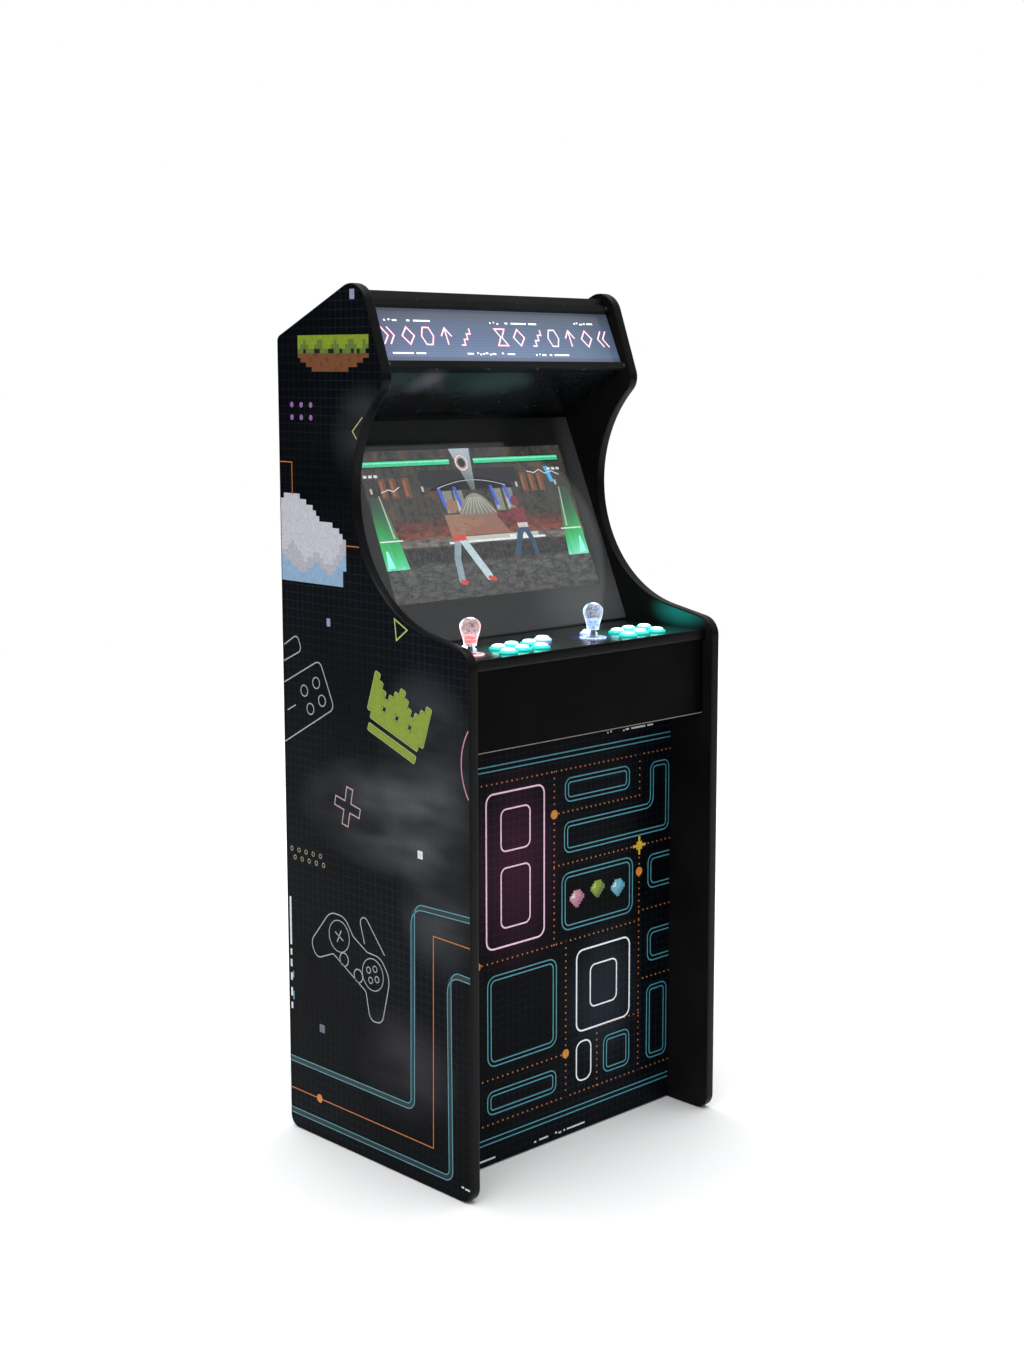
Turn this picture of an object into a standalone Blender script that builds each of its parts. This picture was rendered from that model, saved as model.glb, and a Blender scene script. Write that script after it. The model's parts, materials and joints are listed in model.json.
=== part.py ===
"""An upright two-player arcade cabinet: boards, marquee, screen, control panel, sticks, buttons and rear door.

Metres, +Z up, +X to the player's right, the front faces -Y. The origin is the middle of the footprint.
"""

import math

import bmesh
import bpy
from mathutils import Matrix, Vector

# Driving dimensions
MM = 0.001
GAP = 0.3 * MM
WIDTH = 620 * MM
DEPTH = 504 * MM
BOARD = 18 * MM
PANEL = 12 * MM
INNER = WIDTH / 2 - BOARD
FIT = INNER - GAP

# Side outline: (Y, Z, corner radius), counter-clockwise seen from +X
FRONT_EDGE = -DEPTH / 2
BACK_EDGE = DEPTH / 2
WAIST_Y = 43.8 * MM
OUTLINE = (
    (FRONT_EDGE, 0.0, 28 * MM),
    (BACK_EDGE, 0.0, 22 * MM),
    (BACK_EDGE, 1456.3 * MM, 12 * MM),
    (19.4 * MM, 1559.9 * MM, 45 * MM),
    (-47.3 * MM, 1377.2 * MM, 34 * MM),
    (WAIST_Y, 1292.2 * MM, 235 * MM),
    (WAIST_Y, 999.5 * MM, 229 * MM),
    (FRONT_EDGE, 943.6 * MM, 36 * MM),
)
BIG_RADIUS = 100 * MM
BIG_STEP = math.radians(8)
SMALL_STEP = math.radians(16)

# Edge molding: crown on the edge, barb in a slot
CROWN = 2.5 * MM
CROWN_WIDTH = 19 * MM
BARB = 0.8 * MM
BARB_REACH = 10 * MM
SLOT = 1.15 * MM
SLOT_REACH = 11 * MM
EDGE_INSET = CROWN + GAP

# Control box
DECK_TOP = 926 * MM
DECK_FRONT = -232.2 * MM
DECK_BACK = -39 * MM
DECK_BOTTOM = DECK_TOP - BOARD
BOX_FRONT = -229 * MM
BOX_BOTTOM = 768.5 * MM
BOX_FLOOR = 15 * MM
KICK_FRONT = -151 * MM
KICK_THICK = 15 * MM
KICK_BOTTOM = 3 * MM

# Screen plane: the front of the window, local Y up the slope, local Z out of it
SCREEN_TILT = math.radians(66.4)
SCREEN_ORIGIN = Vector((0, 117.1 * MM, 1283.4 * MM))
WINDOW_TOP = 37 * MM
WINDOW_BOTTOM = -388 * MM
WINDOW_THICK = 4 * MM
BEZEL_THICK = 6 * MM
ACTIVE_WIDTH = 509 * MM
ACTIVE_HEIGHT = 286 * MM
ACTIVE_CENTRE = -169 * MM
DISPLAY_MARGIN = 11 * MM
DISPLAY_THICK = 12 * MM
HOUSING_THICK = 26 * MM

# Marquee plane and the glossy panel under it
MARQUEE_TILT = math.radians(65.8)
MARQUEE_ORIGIN = Vector((0, -19 * MM, 1405 * MM))
MARQUEE_HEIGHT = 120 * MM
RAIL_HEIGHT = 13 * MM
RAIL_DEPTH = 11 * MM
UNDER_TILT = math.radians(-28.4)
UNDER_ORIGIN = Vector((0, -9.2 * MM, 1394.1 * MM))
UNDER_LENGTH = 160.8 * MM

# Roof, a board parallel to the rear slope of the sides
ROOF_TILT = math.radians(-24)
ROOF_ORIGIN = Vector((0, 39 * MM, 1533.5 * MM))
ROOF_LENGTH = 224 * MM
ROOF_THICK = 15 * MM

# Rear
REAR_FACE = 238 * MM
REAR_BOTTOM = 40 * MM
REAR_TOP = 1428.2 * MM
DOOR_HALF = 225 * MM
DOOR_BOTTOM = 120 * MM
DOOR_TOP = 760 * MM
DOOR_PLAY = 0.6 * MM
PIN_Y = 241.9 * MM
PIN_RADIUS = 1.4 * MM
KNUCKLE_RADIUS = 3.2 * MM
KNUCKLES = 5
LEAF_WIDTH = 22 * MM
LEAF_THICK = 1.4 * MM
LOCK_X = 203 * MM
LOCK_Z = 440 * MM
INLET_X = 190 * MM
INLET_Z = 82 * MM

# Buttons: rim, barrel and plunger
PLAYER_PITCH = 295 * MM
PLAY_BUTTONS = ((136, -158), (175, -149), (214, -152), (118, -202), (158, -193), (198, -198))
START_BUTTON = (86, -134)
CENTRE_BUTTON = (-31, -134)
RIM_RADIUS = 16.5 * MM
RIM_HEIGHT = 4.2 * MM
BARREL_RADIUS = 13.7 * MM
BORE_RADIUS = 12.4 * MM
PLUNGER_RADIUS = 12 * MM
PLUNGER_TOP = 9 * MM
PLUNGER_BOTTOM = -14 * MM
BARREL_BOTTOM = -30 * MM
BUTTON_HOLE = 14.1 * MM
ROUND = 12

# Sticks: two-axis gimbal under the deck
STICK = (61, -169)
PIVOT_Z = 893 * MM
BASE_RADIUS = 27 * MM
BASE_BORE = 20 * MM
BASE_BOTTOM = 866 * MM
RING_OUTER = 17 * MM
RING_INNER = 12 * MM
RING_HALF = 4 * MM
TRUNNION = 2 * MM
TRUNNION_HOLE = 2.5 * MM
SHAFT_RADIUS = 5 * MM
HUB_RADIUS = 8 * MM
SHAFT_TOP = 962 * MM
SHAFT_HOLE = 14 * MM
WASHER_RADIUS = 24.3 * MM
BULB_BOTTOM = 941 * MM

PARTS = "arcade_cabinet"
CUTTERS = "cutters"


def clear_scene():
    for obj in list(bpy.data.objects):
        bpy.data.objects.remove(obj)


def collection(name):
    made = bpy.data.collections.new(name)
    bpy.context.scene.collection.children.link(made)
    return made


def paint(name, colour, roughness, metallic=0.0, glow=0.0, clear=0.0):
    """A plain Principled material; glow is an emission strength, clear a transmission weight."""
    made = bpy.data.materials.get(name)
    if made:
        return made
    made = bpy.data.materials.new(name)
    made.use_nodes = True
    made.diffuse_color = (*colour, 1)
    shader = made.node_tree.nodes["Principled BSDF"]
    shader.inputs["Base Color"].default_value = (*colour, 1)
    shader.inputs["Roughness"].default_value = roughness
    shader.inputs["Metallic"].default_value = metallic
    shader.inputs["Transmission Weight"].default_value = clear
    shader.inputs["Emission Color"].default_value = (*colour, 1)
    shader.inputs["Emission Strength"].default_value = glow
    return made


def vinyl():
    return paint("printed_vinyl", (0.012, 0.014, 0.03), 0.28)


def black_board():
    return paint("black_laminate", (0.01, 0.01, 0.012), 0.35)


def black_rubber():
    return paint("black_molding", (0.012, 0.012, 0.014), 0.4)


def raw_board():
    return paint("raw_board", (0.35, 0.24, 0.15), 0.7)


def gloss_sheet():
    return paint("gloss_acrylic", (0.008, 0.008, 0.01), 0.05)


def clear_plastic():
    return paint("clear_acrylic", (0.9, 0.95, 1.0), 0.05, clear=0.9)


def steel():
    return paint("steel", (0.55, 0.56, 0.58), 0.3, 1.0)


def dark_plastic():
    return paint("dark_plastic", (0.02, 0.02, 0.022), 0.45)


def teal_light():
    return paint("teal_light", (0.15, 0.9, 0.85), 0.3, glow=3)


def white_light():
    return paint("white_light", (0.9, 0.95, 1.0), 0.3, glow=3)


def marquee_print():
    return paint("marquee_print", (0.55, 0.6, 0.75), 0.2, glow=1)


def screen_picture():
    return paint("screen_picture", (0.05, 0.08, 0.12), 0.2, glow=1)


def frame(name, location, tilt):
    """An empty that carries a sloping plane: local Y runs up or back along it, local Z stands on it."""
    empty = bpy.data.objects.new(name, None)
    empty.location = location
    empty.rotation_euler = (tilt, 0, 0)
    bpy.data.collections[PARTS].objects.link(empty)
    return empty


def keep(name, mesh, material, parent=None, cutter=False):
    """Puts a mesh in the scene as one named part, or as a hidden cutter."""
    obj = bpy.data.objects.new(name, mesh)
    bpy.data.collections[CUTTERS if cutter else PARTS].objects.link(obj)
    if cutter:
        obj.hide_render = True
        obj.display_type = "WIRE"
    elif material:
        mesh.materials.append(material)
    obj.parent = parent
    return obj


def box(name, low, high, material=None, parent=None, cutter=False, origin=None):
    """A box between two corners; its object's origin is its middle, or the given point."""
    low = Vector(low)
    high = Vector(high)
    origin = Vector(origin) if origin is not None else (low + high) / 2
    shape = bmesh.new()
    bmesh.ops.create_cube(shape, size=1)
    bmesh.ops.scale(shape, vec=high - low, verts=shape.verts)
    bmesh.ops.translate(shape, vec=(low + high) / 2 - origin, verts=shape.verts)
    mesh = bpy.data.meshes.new(name)
    shape.to_mesh(mesh)
    shape.free()
    obj = keep(name, mesh, material, parent, cutter)
    obj.location = origin
    return obj


def rod(name, start, end, radius, sides=ROUND, material=None, parent=None, cutter=False, origin=None):
    """A cylinder between two points, with the object's origin at its middle or at the given point."""
    start = Vector(start)
    end = Vector(end)
    along = end - start
    origin = Vector(origin) if origin is not None else (start + end) / 2
    shape = bmesh.new()
    bmesh.ops.create_cone(
        shape, cap_ends=True, segments=sides, radius1=radius, radius2=radius, depth=along.length
    )
    turn = along.to_track_quat("Z", "Y").to_matrix().to_4x4()
    bmesh.ops.transform(shape, matrix=turn, verts=shape.verts)
    bmesh.ops.translate(shape, vec=(start + end) / 2 - origin, verts=shape.verts)
    mesh = bpy.data.meshes.new(name)
    shape.to_mesh(mesh)
    shape.free()
    obj = keep(name, mesh, material, parent, cutter)
    obj.location = origin
    return obj


def turned(name, profile, location, material=None, sides=ROUND, closed=False, cutter=False):
    """A profile of (radius, height) points, top to bottom down its outer side, turned about Z."""
    shape = bmesh.new()
    points = [shape.verts.new((radius, 0, height)) for radius, height in profile]
    if closed:
        points.append(points[0])
    for first, second in zip(points, points[1:]):
        shape.edges.new((first, second))
    mesh = bpy.data.meshes.new(name)
    shape.to_mesh(mesh)
    shape.free()
    obj = keep(name, mesh, material, cutter=cutter)
    obj.location = location
    screw = obj.modifiers.new("turn", "SCREW")
    screw.steps = sides
    screw.render_steps = sides
    screw.use_merge_vertices = True
    screw.merge_threshold = 0.00001
    return obj


def joined(target, other, operation="UNION", solver="EXACT"):
    """Adds a Boolean with a helper object, which the build then leaves out."""
    step = target.modifiers.new(other.name, "BOOLEAN")
    step.operation = operation
    step.solver = solver
    step.object = other
    return target


def cut(target, *others):
    for other in others:
        joined(target, other, "DIFFERENCE")
    return target


def smooth(obj, angle=35):
    obj.data.shade_smooth()
    obj.data.set_sharp_from_angle(angle=math.radians(angle))


def rounded_outline(corners, inset=0.0):
    """The corners' polygon with each corner made an arc, moved inwards by inset."""
    points = []
    count = len(corners)
    for index, (y, z, radius) in enumerate(corners):
        corner = Vector((y, z))
        before = (Vector(corners[index - 1][:2]) - corner).normalized()
        after = (Vector(corners[(index + 1) % count][:2]) - corner).normalized()
        half = before.angle(after) / 2
        centre = corner + (before + after).normalized() * radius / math.sin(half)
        start = corner + before * radius / math.tan(half) - centre
        sweep = math.pi - 2 * half
        turns_left = before.cross(after) < 0
        step = BIG_STEP if radius > BIG_RADIUS else SMALL_STEP
        pieces = math.ceil(sweep / step)
        reach = radius - inset if turns_left else radius + inset
        for piece in range(pieces + 1):
            angle = sweep * piece / pieces * (1 if turns_left else -1)
            points.append(centre + Matrix.Rotation(angle, 2) @ start * reach / radius)
    return points


def flat_curve(name, points, thickness=None):
    """A closed flat curve in the cabinet's side plane, filled and thickened, or left as a path."""
    data = bpy.data.curves.new(name, "CURVE")
    data.dimensions = "2D"
    spline = data.splines.new("POLY")
    spline.points.add(len(points) - 1)
    for point, (across, up) in zip(spline.points, points):
        point.co = (across, up, 0, 1)
    spline.use_cyclic_u = True
    data.fill_mode = "BOTH" if thickness else "NONE"
    data.extrude = thickness / 2 if thickness else 0
    obj = bpy.data.objects.new(name, data)
    bpy.data.collections[CUTTERS].objects.link(obj)
    obj.rotation_euler = (math.pi / 2, 0, math.pi / 2)
    return obj


def meshed(curve, name, material=None, cutter=False):
    """Turns a curve object into a mesh part with welded caps, and removes the curve."""
    bpy.context.view_layer.update()
    graph = bpy.context.evaluated_depsgraph_get()
    mesh = bpy.data.meshes.new_from_object(curve.evaluated_get(graph))
    shape = bmesh.new()
    shape.from_mesh(mesh)
    bmesh.ops.remove_doubles(shape, verts=shape.verts, dist=0.00001)
    bmesh.ops.recalc_face_normals(shape, faces=shape.faces)
    shape.to_mesh(mesh)
    shape.free()
    mesh.name = name
    mesh.materials.clear()
    obj = keep(name, mesh, material, cutter=cutter)
    obj.matrix_world = curve.matrix_world
    bpy.data.objects.remove(curve)
    return obj


def swept(name, section, points, at_x, material=None, cutter=False):
    """A section of (inwards, across) points carried round a closed outline at the given X."""
    shape = flat_curve(name + "_section", section)
    path = flat_curve(name + "_path", points)
    path.location.x = at_x
    path.data.bevel_mode = "OBJECT"
    path.data.bevel_object = shape
    obj = meshed(path, name, material, cutter)
    bpy.data.objects.remove(shape)
    return obj


def side(name, sign):
    """One side board with the slot for its molding, and the T-shaped molding round it."""
    at_x = sign * (INNER + BOARD / 2)
    outline = rounded_outline(OUTLINE)
    curve = flat_curve(name, rounded_outline(OUTLINE, EDGE_INSET), BOARD)
    curve.location.x = at_x
    board = meshed(curve, name + "_side_panel", vinyl())
    slot_section = ((-1 * MM, -SLOT), (-1 * MM, SLOT), (SLOT_REACH, SLOT), (SLOT_REACH, -SLOT))
    slot = swept(name + "_slot", slot_section, outline, at_x, cutter=True)
    joined(board, slot, "DIFFERENCE", "MANIFOLD")
    half = CROWN_WIDTH / 2
    section = (
        (0, -half),
        (0, half),
        (CROWN, half),
        (CROWN, BARB),
        (BARB_REACH, BARB),
        (BARB_REACH, -BARB),
        (CROWN, -BARB),
        (CROWN, -half),
    )
    swept(name + "_edge_molding", section, outline, at_x, black_rubber())


def roof():
    plane = frame("roof_frame", ROOF_ORIGIN, ROOF_TILT)
    box("roof_panel", (-FIT, 0, -ROOF_THICK), (FIT, ROOF_LENGTH, 0), black_board(), plane)


def marquee():
    """Acrylic window between two rails, the light bar behind it and the glossy panel under it."""
    plane = frame("marquee_frame", MARQUEE_ORIGIN, MARQUEE_TILT)
    top = MARQUEE_HEIGHT
    box("marquee_window", (-FIT, 0, -4 * MM), (FIT, top, 0), marquee_print(), plane)
    for name, low in (("marquee_bottom_rail", -7 * MM), ("marquee_top_rail", top - RAIL_HEIGHT + 1 * MM)):
        high = low + RAIL_HEIGHT
        box(name, (-FIT, low, GAP), (FIT, high, RAIL_DEPTH), black_board(), plane)
    box("marquee_light_bar", (-265 * MM, 72 * MM, 1476 * MM), (265 * MM, 100 * MM, 1489 * MM), white_light())
    under = frame("under_marquee_frame", UNDER_ORIGIN, UNDER_TILT)
    box("under_marquee_panel", (-FIT, 0, 0), (FIT, UNDER_LENGTH, 6 * MM), gloss_sheet(), under)


def screen():
    """Window sheet, bezel board with its opening, display, its rear housing and the bracket across."""
    plane = frame("screen_frame", SCREEN_ORIGIN, SCREEN_TILT)
    box("screen_window", (-FIT, WINDOW_BOTTOM, -WINDOW_THICK), (FIT, WINDOW_TOP, 0), gloss_sheet(), plane)
    behind = -WINDOW_THICK - GAP
    low = ACTIVE_CENTRE - ACTIVE_HEIGHT / 2
    high = ACTIVE_CENTRE + ACTIVE_HEIGHT / 2
    half = ACTIVE_WIDTH / 2
    bezel = box(
        "screen_bezel",
        (-FIT, WINDOW_BOTTOM + 4 * MM, behind - BEZEL_THICK),
        (FIT, WINDOW_TOP - 8 * MM, behind),
        black_board(),
        plane,
    )
    hole = box(
        "bezel_opening", (-half, low, behind - 20 * MM), (half, high, 20 * MM), parent=plane, cutter=True
    )
    cut(bezel, hole)
    back = behind - BEZEL_THICK - GAP
    rim = DISPLAY_MARGIN
    box(
        "display_panel",
        (-half - rim, low - rim, back - DISPLAY_THICK),
        (half + rim, high + rim, back),
        screen_picture(),
        plane,
    )
    back -= DISPLAY_THICK + GAP
    inset = 40 * MM
    box(
        "display_housing",
        (-half + inset, low + inset, back - HOUSING_THICK),
        (half - inset, high - inset, back),
        dark_plastic(),
        plane,
    )
    back -= HOUSING_THICK + GAP
    middle = ACTIVE_CENTRE
    bar = 35 * MM
    bracket = box(
        "display_bracket", (-FIT, middle - bar, back - 3 * MM), (FIT, middle + bar, back), steel(), plane
    )
    flange = box(
        "bracket_flange",
        (-FIT, middle - bar, back - 22 * MM),
        (FIT, middle - bar + 3 * MM, back - 1 * MM),
        parent=plane,
        cutter=True,
    )
    joined(bracket, flange)


def button_points():
    """(name, X, Y, is_play) of every button, in metres."""
    found = []
    for player, shift in (("p1", -PLAYER_PITCH), ("p2", 0.0)):
        for number, (x, y) in enumerate(PLAY_BUTTONS, 1):
            found.append((f"{player}_button_{number}", x * MM + shift, y * MM, True))
        found.append((f"{player}_start_button", START_BUTTON[0] * MM + shift, START_BUTTON[1] * MM, False))
    found.append(("centre_button", CENTRE_BUTTON[0] * MM, CENTRE_BUTTON[1] * MM, False))
    return found


def stick_points():
    x, y = STICK
    return (("p1", x * MM - PLAYER_PITCH, y * MM), ("p2", x * MM, y * MM))


def control_box():
    """Deck with its holes and front molding, the box's front and floor, and the kick panel."""
    deck = box("control_panel", (-FIT, DECK_FRONT, DECK_BOTTOM), (FIT, DECK_BACK, DECK_TOP), black_board())
    below = DECK_BOTTOM - 5 * MM
    above = DECK_TOP + 5 * MM
    for name, x, y, _ in button_points():
        cut(deck, rod(name + "_hole", (x, y, below), (x, y, above), BUTTON_HOLE, cutter=True))
    for name, x, y in stick_points():
        cut(deck, rod(name + "_stick_hole", (x, y, below), (x, y, above), SHAFT_HOLE, 16, cutter=True))
    edge = DECK_FRONT - GAP
    top = DECK_TOP + 0.5 * MM
    box("control_panel_molding", (-FIT, edge - CROWN, top - CROWN_WIDTH), (FIT, edge, top), black_rubber())
    inside = BOX_FRONT + PANEL
    top = DECK_BOTTOM - GAP
    box("control_box_front", (-FIT, BOX_FRONT, BOX_BOTTOM), (FIT, inside, top), black_board())
    floor = box(
        "control_box_floor",
        (-FIT, inside + GAP, BOX_BOTTOM),
        (FIT, KICK_FRONT + KICK_THICK, BOX_BOTTOM + BOX_FLOOR),
        black_board(),
    )
    kick_top = BOX_BOTTOM - GAP
    box("kick_panel", (-FIT, KICK_FRONT, KICK_BOTTOM), (FIT, KICK_FRONT + KICK_THICK, kick_top), vinyl())
    speakers(floor)


def speakers(floor):
    """Two small drivers that stand on the control box's floor and face down through it."""
    y = (BOX_FRONT + PANEL + KICK_FRONT + KICK_THICK) / 2
    seat = BOX_BOTTOM + BOX_FLOOR + GAP
    profile = ((0, 36), (20, 36), (20, 24), (32, 4), (36, 4), (36, 0), (29, 0), (8, 16), (0, 16))
    for name, sign in (("left_speaker", -1), ("right_speaker", 1)):
        x = sign * 150 * MM
        cut(floor, rod(name + "_hole", (x, y, 0.7), (x, y, 0.8), 30 * MM, 16, cutter=True))
        points = [(radius * MM, height * MM) for radius, height in profile]
        smooth(turned(name, points, (x, y, seat), dark_plastic(), 16))


def barrel_profile():
    top = RIM_HEIGHT
    low = GAP
    return (
        (BORE_RADIUS, top),
        (RIM_RADIUS - 2 * MM, top),
        (RIM_RADIUS, top - 2.5 * MM),
        (RIM_RADIUS, low),
        (BARREL_RADIUS, low),
        (BARREL_RADIUS, BARREL_BOTTOM),
        (BORE_RADIUS, BARREL_BOTTOM),
    )


def buttons():
    """Each plunger in its barrel; a player's seven barrels stand on one switch board."""
    plunger = (
        (0, PLUNGER_TOP),
        (PLUNGER_RADIUS - 3 * MM, PLUNGER_TOP - 0.8 * MM),
        (PLUNGER_RADIUS, PLUNGER_TOP - 3.5 * MM),
        (PLUNGER_RADIUS, PLUNGER_BOTTOM),
        (0, PLUNGER_BOTTOM),
    )
    groups = {}
    for name, x, y, is_play in button_points():
        light = teal_light() if is_play else white_light()
        smooth(turned(name, plunger, (x, y, DECK_TOP), light))
        player = name.split("_")[0]
        helper = player != "centre"
        housing = turned(
            name + "_barrel" if helper else "centre_button_housing",
            barrel_profile(),
            (x, y, DECK_TOP),
            dark_plastic(),
            closed=True,
            cutter=helper,
        )
        if helper:
            groups.setdefault(player, []).append(housing)
    low_z = DECK_TOP + BARREL_BOTTOM - 1.5 * MM
    for player, shift in (("p1", -PLAYER_PITCH), ("p2", 0.0)):
        low = (92 * MM + shift, -212 * MM, low_z)
        high = (226 * MM + shift, -137 * MM, low_z + 3 * MM)
        board = box(player + "_button_housings", low, high, dark_plastic())
        for housing in groups[player]:
            joined(board, housing)


def ring(name, x, y, z, outer, inner, half, material, sides, cutter=False):
    profile = ((inner, half), (outer, half), (outer, -half), (inner, -half))
    return turned(name, profile, (x, y, z), material, sides, closed=True, cutter=cutter)


def stick(player, x, y):
    """Base, gimbal ring that tilts about X, shaft that tilts about Y in the ring, bulb and dust washer."""
    top = DECK_BOTTOM - GAP
    half = (top - BASE_BOTTOM) / 2
    base = ring(
        player + "_stick_base", x, y, BASE_BOTTOM + half, BASE_RADIUS, BASE_BORE, half, dark_plastic(), 16
    )
    pivot = Vector((x, y, PIVOT_Z))
    reach = Vector((BASE_RADIUS - 2 * MM, 0, 0))
    cut(
        base,
        rod(player + "_trunnion_hole", pivot - reach, pivot + reach, TRUNNION_HOLE, 8, cutter=True),
    )
    gimbal = ring(
        player + "_stick_gimbal", x, y, PIVOT_Z, RING_OUTER, RING_INNER, RING_HALF, steel(), 16
    )
    for end, sign in (("left", -1), ("right", 1)):
        start = pivot + Vector((sign * (RING_INNER + 1 * MM), 0, 0))
        stop = pivot + Vector((sign * (BASE_RADIUS - 3 * MM), 0, 0))
        joined(gimbal, rod(f"{player}_trunnion_{end}", start, stop, TRUNNION, 8, cutter=True))
    cross = Vector((0, RING_OUTER + 2 * MM, 0))
    cut(gimbal, rod(player + "_cross_hole", pivot - cross, pivot + cross, TRUNNION_HOLE, 8, cutter=True))
    down = -22 * MM
    profile = (
        (0, SHAFT_TOP - PIVOT_Z),
        (SHAFT_RADIUS - 1 * MM, SHAFT_TOP - PIVOT_Z),
        (SHAFT_RADIUS, SHAFT_TOP - PIVOT_Z - 1 * MM),
        (SHAFT_RADIUS, HUB_RADIUS),
        (HUB_RADIUS, 4 * MM),
        (HUB_RADIUS, -4 * MM),
        (SHAFT_RADIUS, -HUB_RADIUS),
        (SHAFT_RADIUS, down + 7 * MM),
        (10 * MM, down + 6 * MM),
        (10 * MM, down),
        (0, down),
    )
    shaft = turned(player + "_stick_shaft", profile, pivot, steel())
    smooth(shaft)
    cross = Vector((0, RING_OUTER - 1 * MM, 0))
    joined(shaft, rod(player + "_cross_pin", pivot - cross, pivot + cross, TRUNNION, 8, cutter=True))
    bulb(player, x, y)
    low = DECK_TOP + GAP
    washer = (
        (SHAFT_HOLE, 1.6 * MM),
        (WASHER_RADIUS - 1 * MM, 1.6 * MM),
        (WASHER_RADIUS, 0.8 * MM),
        (WASHER_RADIUS, 0),
        (SHAFT_HOLE, 0),
    )
    turned(player + "_dust_washer", washer, (x, y, low), clear_plastic(), 20, closed=True)


def bulb(player, x, y):
    """A pear-shaped grip with a socket for the shaft, turned from a sine-eased outline."""
    height = 48 * MM
    widest = 33.5 * MM
    neck = 11 * MM
    wide = 18 * MM
    outline = []
    for step in range(6):
        angle = math.pi / 2 * step / 5
        outline.append((wide * math.sin(angle), widest + (height - widest) * math.cos(angle)))
    for step in range(1, 6):
        part = step / 5
        ease = (1 + math.cos(math.pi * part)) / 2
        outline.append((neck + (wide - neck) * ease, widest * (1 - part)))
    socket = SHAFT_TOP - BULB_BOTTOM + 0.5 * MM
    bore = SHAFT_RADIUS + GAP
    outline += [(bore, 0), (bore, socket), (0, socket)]
    smooth(turned(player + "_stick_bulb", outline, (x, y, BULB_BOTTOM), clear_plastic(), 16))


def rear():
    """Back panel with vents, the service door in it, and what the rear panel carries."""
    inside = REAR_FACE - PANEL
    panel = box("back_panel", (-FIT, inside, REAR_BOTTOM), (FIT, REAR_FACE, REAR_TOP), black_board())
    far = REAR_FACE + 20 * MM
    near = inside - 20 * MM
    cut(
        panel,
        box(
            "door_opening", (-DOOR_HALF, near, DOOR_BOTTOM), (DOOR_HALF, far, DOOR_TOP), cutter=True
        ),
    )
    for row in range(6):
        z = 1240 * MM + row * 22 * MM
        slot = box(f"vent_{row}", (-110 * MM, near, z), (110 * MM, far, z + 8 * MM), cutter=True)
        cut(panel, slot)
    door_and_hinge(inside)
    power(panel, inside)


def door_and_hinge(inside):
    low = DOOR_BOTTOM + DOOR_PLAY
    high = DOOR_TOP - DOOR_PLAY
    edge = DOOR_HALF - DOOR_PLAY
    axis = Vector((-DOOR_HALF, PIN_Y, (low + high) / 2))
    door = box("rear_door", (-edge, inside, low), (edge, REAR_FACE, high), black_board(), origin=axis)
    lock = Vector((LOCK_X, 0, LOCK_Z))
    near = Vector((0, inside - 9 * MM, 0))
    far = Vector((0, REAR_FACE + 5 * MM, 0))
    cut(door, rod("lock_hole", lock + near, lock + far, 9.5 * MM, cutter=True))
    seat = Vector((0, REAR_FACE + GAP, 0))
    face = Vector((0, REAR_FACE + 3 * MM, 0))
    cylinder = rod("door_lock", lock + near, lock + face, 8.5 * MM, 12, steel(), origin=lock + near)
    joined(cylinder, rod("lock_face", lock + seat, lock + face, 12 * MM, cutter=True))
    tongue = 38 * MM
    arm = box(
        "lock_cam",
        (LOCK_X - 8 * MM, inside - 9.5 * MM, LOCK_Z - tongue),
        (LOCK_X + 8 * MM, inside - 7.5 * MM, LOCK_Z + 8 * MM),
        cutter=True,
    )
    joined(cylinder, arm)
    keyway = box(
        "keyway",
        (LOCK_X - 1 * MM, REAR_FACE + 1 * MM, LOCK_Z - 4 * MM),
        (LOCK_X + 1 * MM, REAR_FACE + 6 * MM, LOCK_Z + 4 * MM),
        cutter=True,
    )
    cut(cylinder, keyway)
    hinge(low, high)


def hinge(low, high):
    """Fixed leaf with the pin and every other knuckle, and the door's leaf with the rest."""
    leaf_low = REAR_FACE + GAP
    leaf_high = leaf_low + LEAF_THICK
    length = (high - low) / KNUCKLES
    clear = 0.4 * MM
    play = KNUCKLE_RADIUS + clear
    fixed = box(
        "door_hinge_frame_leaf",
        (-DOOR_HALF - LEAF_WIDTH, leaf_low, low),
        (-DOOR_HALF - play, leaf_high, high),
        steel(),
    )
    moving = box(
        "door_hinge_door_leaf",
        (-DOOR_HALF + play, leaf_low, low),
        (-DOOR_HALF + LEAF_WIDTH, leaf_high, high),
        steel(),
        origin=(-DOOR_HALF, PIN_Y, (low + high) / 2),
    )
    for index in range(KNUCKLES):
        leaf, sign = (fixed, -1) if index % 2 == 0 else (moving, 1)
        start = low + index * length + clear
        stop = low + (index + 1) * length - clear
        inner = -DOOR_HALF
        outer = -DOOR_HALF + sign * (play + 2 * MM)
        tab = box(
            f"knuckle_tab_{index}",
            (min(inner, outer), leaf_low, start),
            (max(inner, outer), leaf_high, stop),
            cutter=True,
        )
        joined(leaf, tab)
        ends = ((-DOOR_HALF, PIN_Y, start), (-DOOR_HALF, PIN_Y, stop))
        joined(leaf, rod(f"knuckle_{index}", *ends, KNUCKLE_RADIUS, 10, cutter=True))
    ends = ((-DOOR_HALF, PIN_Y, low - 1 * MM), (-DOOR_HALF, PIN_Y, high + 1 * MM))
    cut(moving, rod("pin_bore", *ends, PIN_RADIUS + clear, 10, cutter=True))
    joined(fixed, rod("hinge_pin", *ends, PIN_RADIUS, 10, cutter=True))


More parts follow.
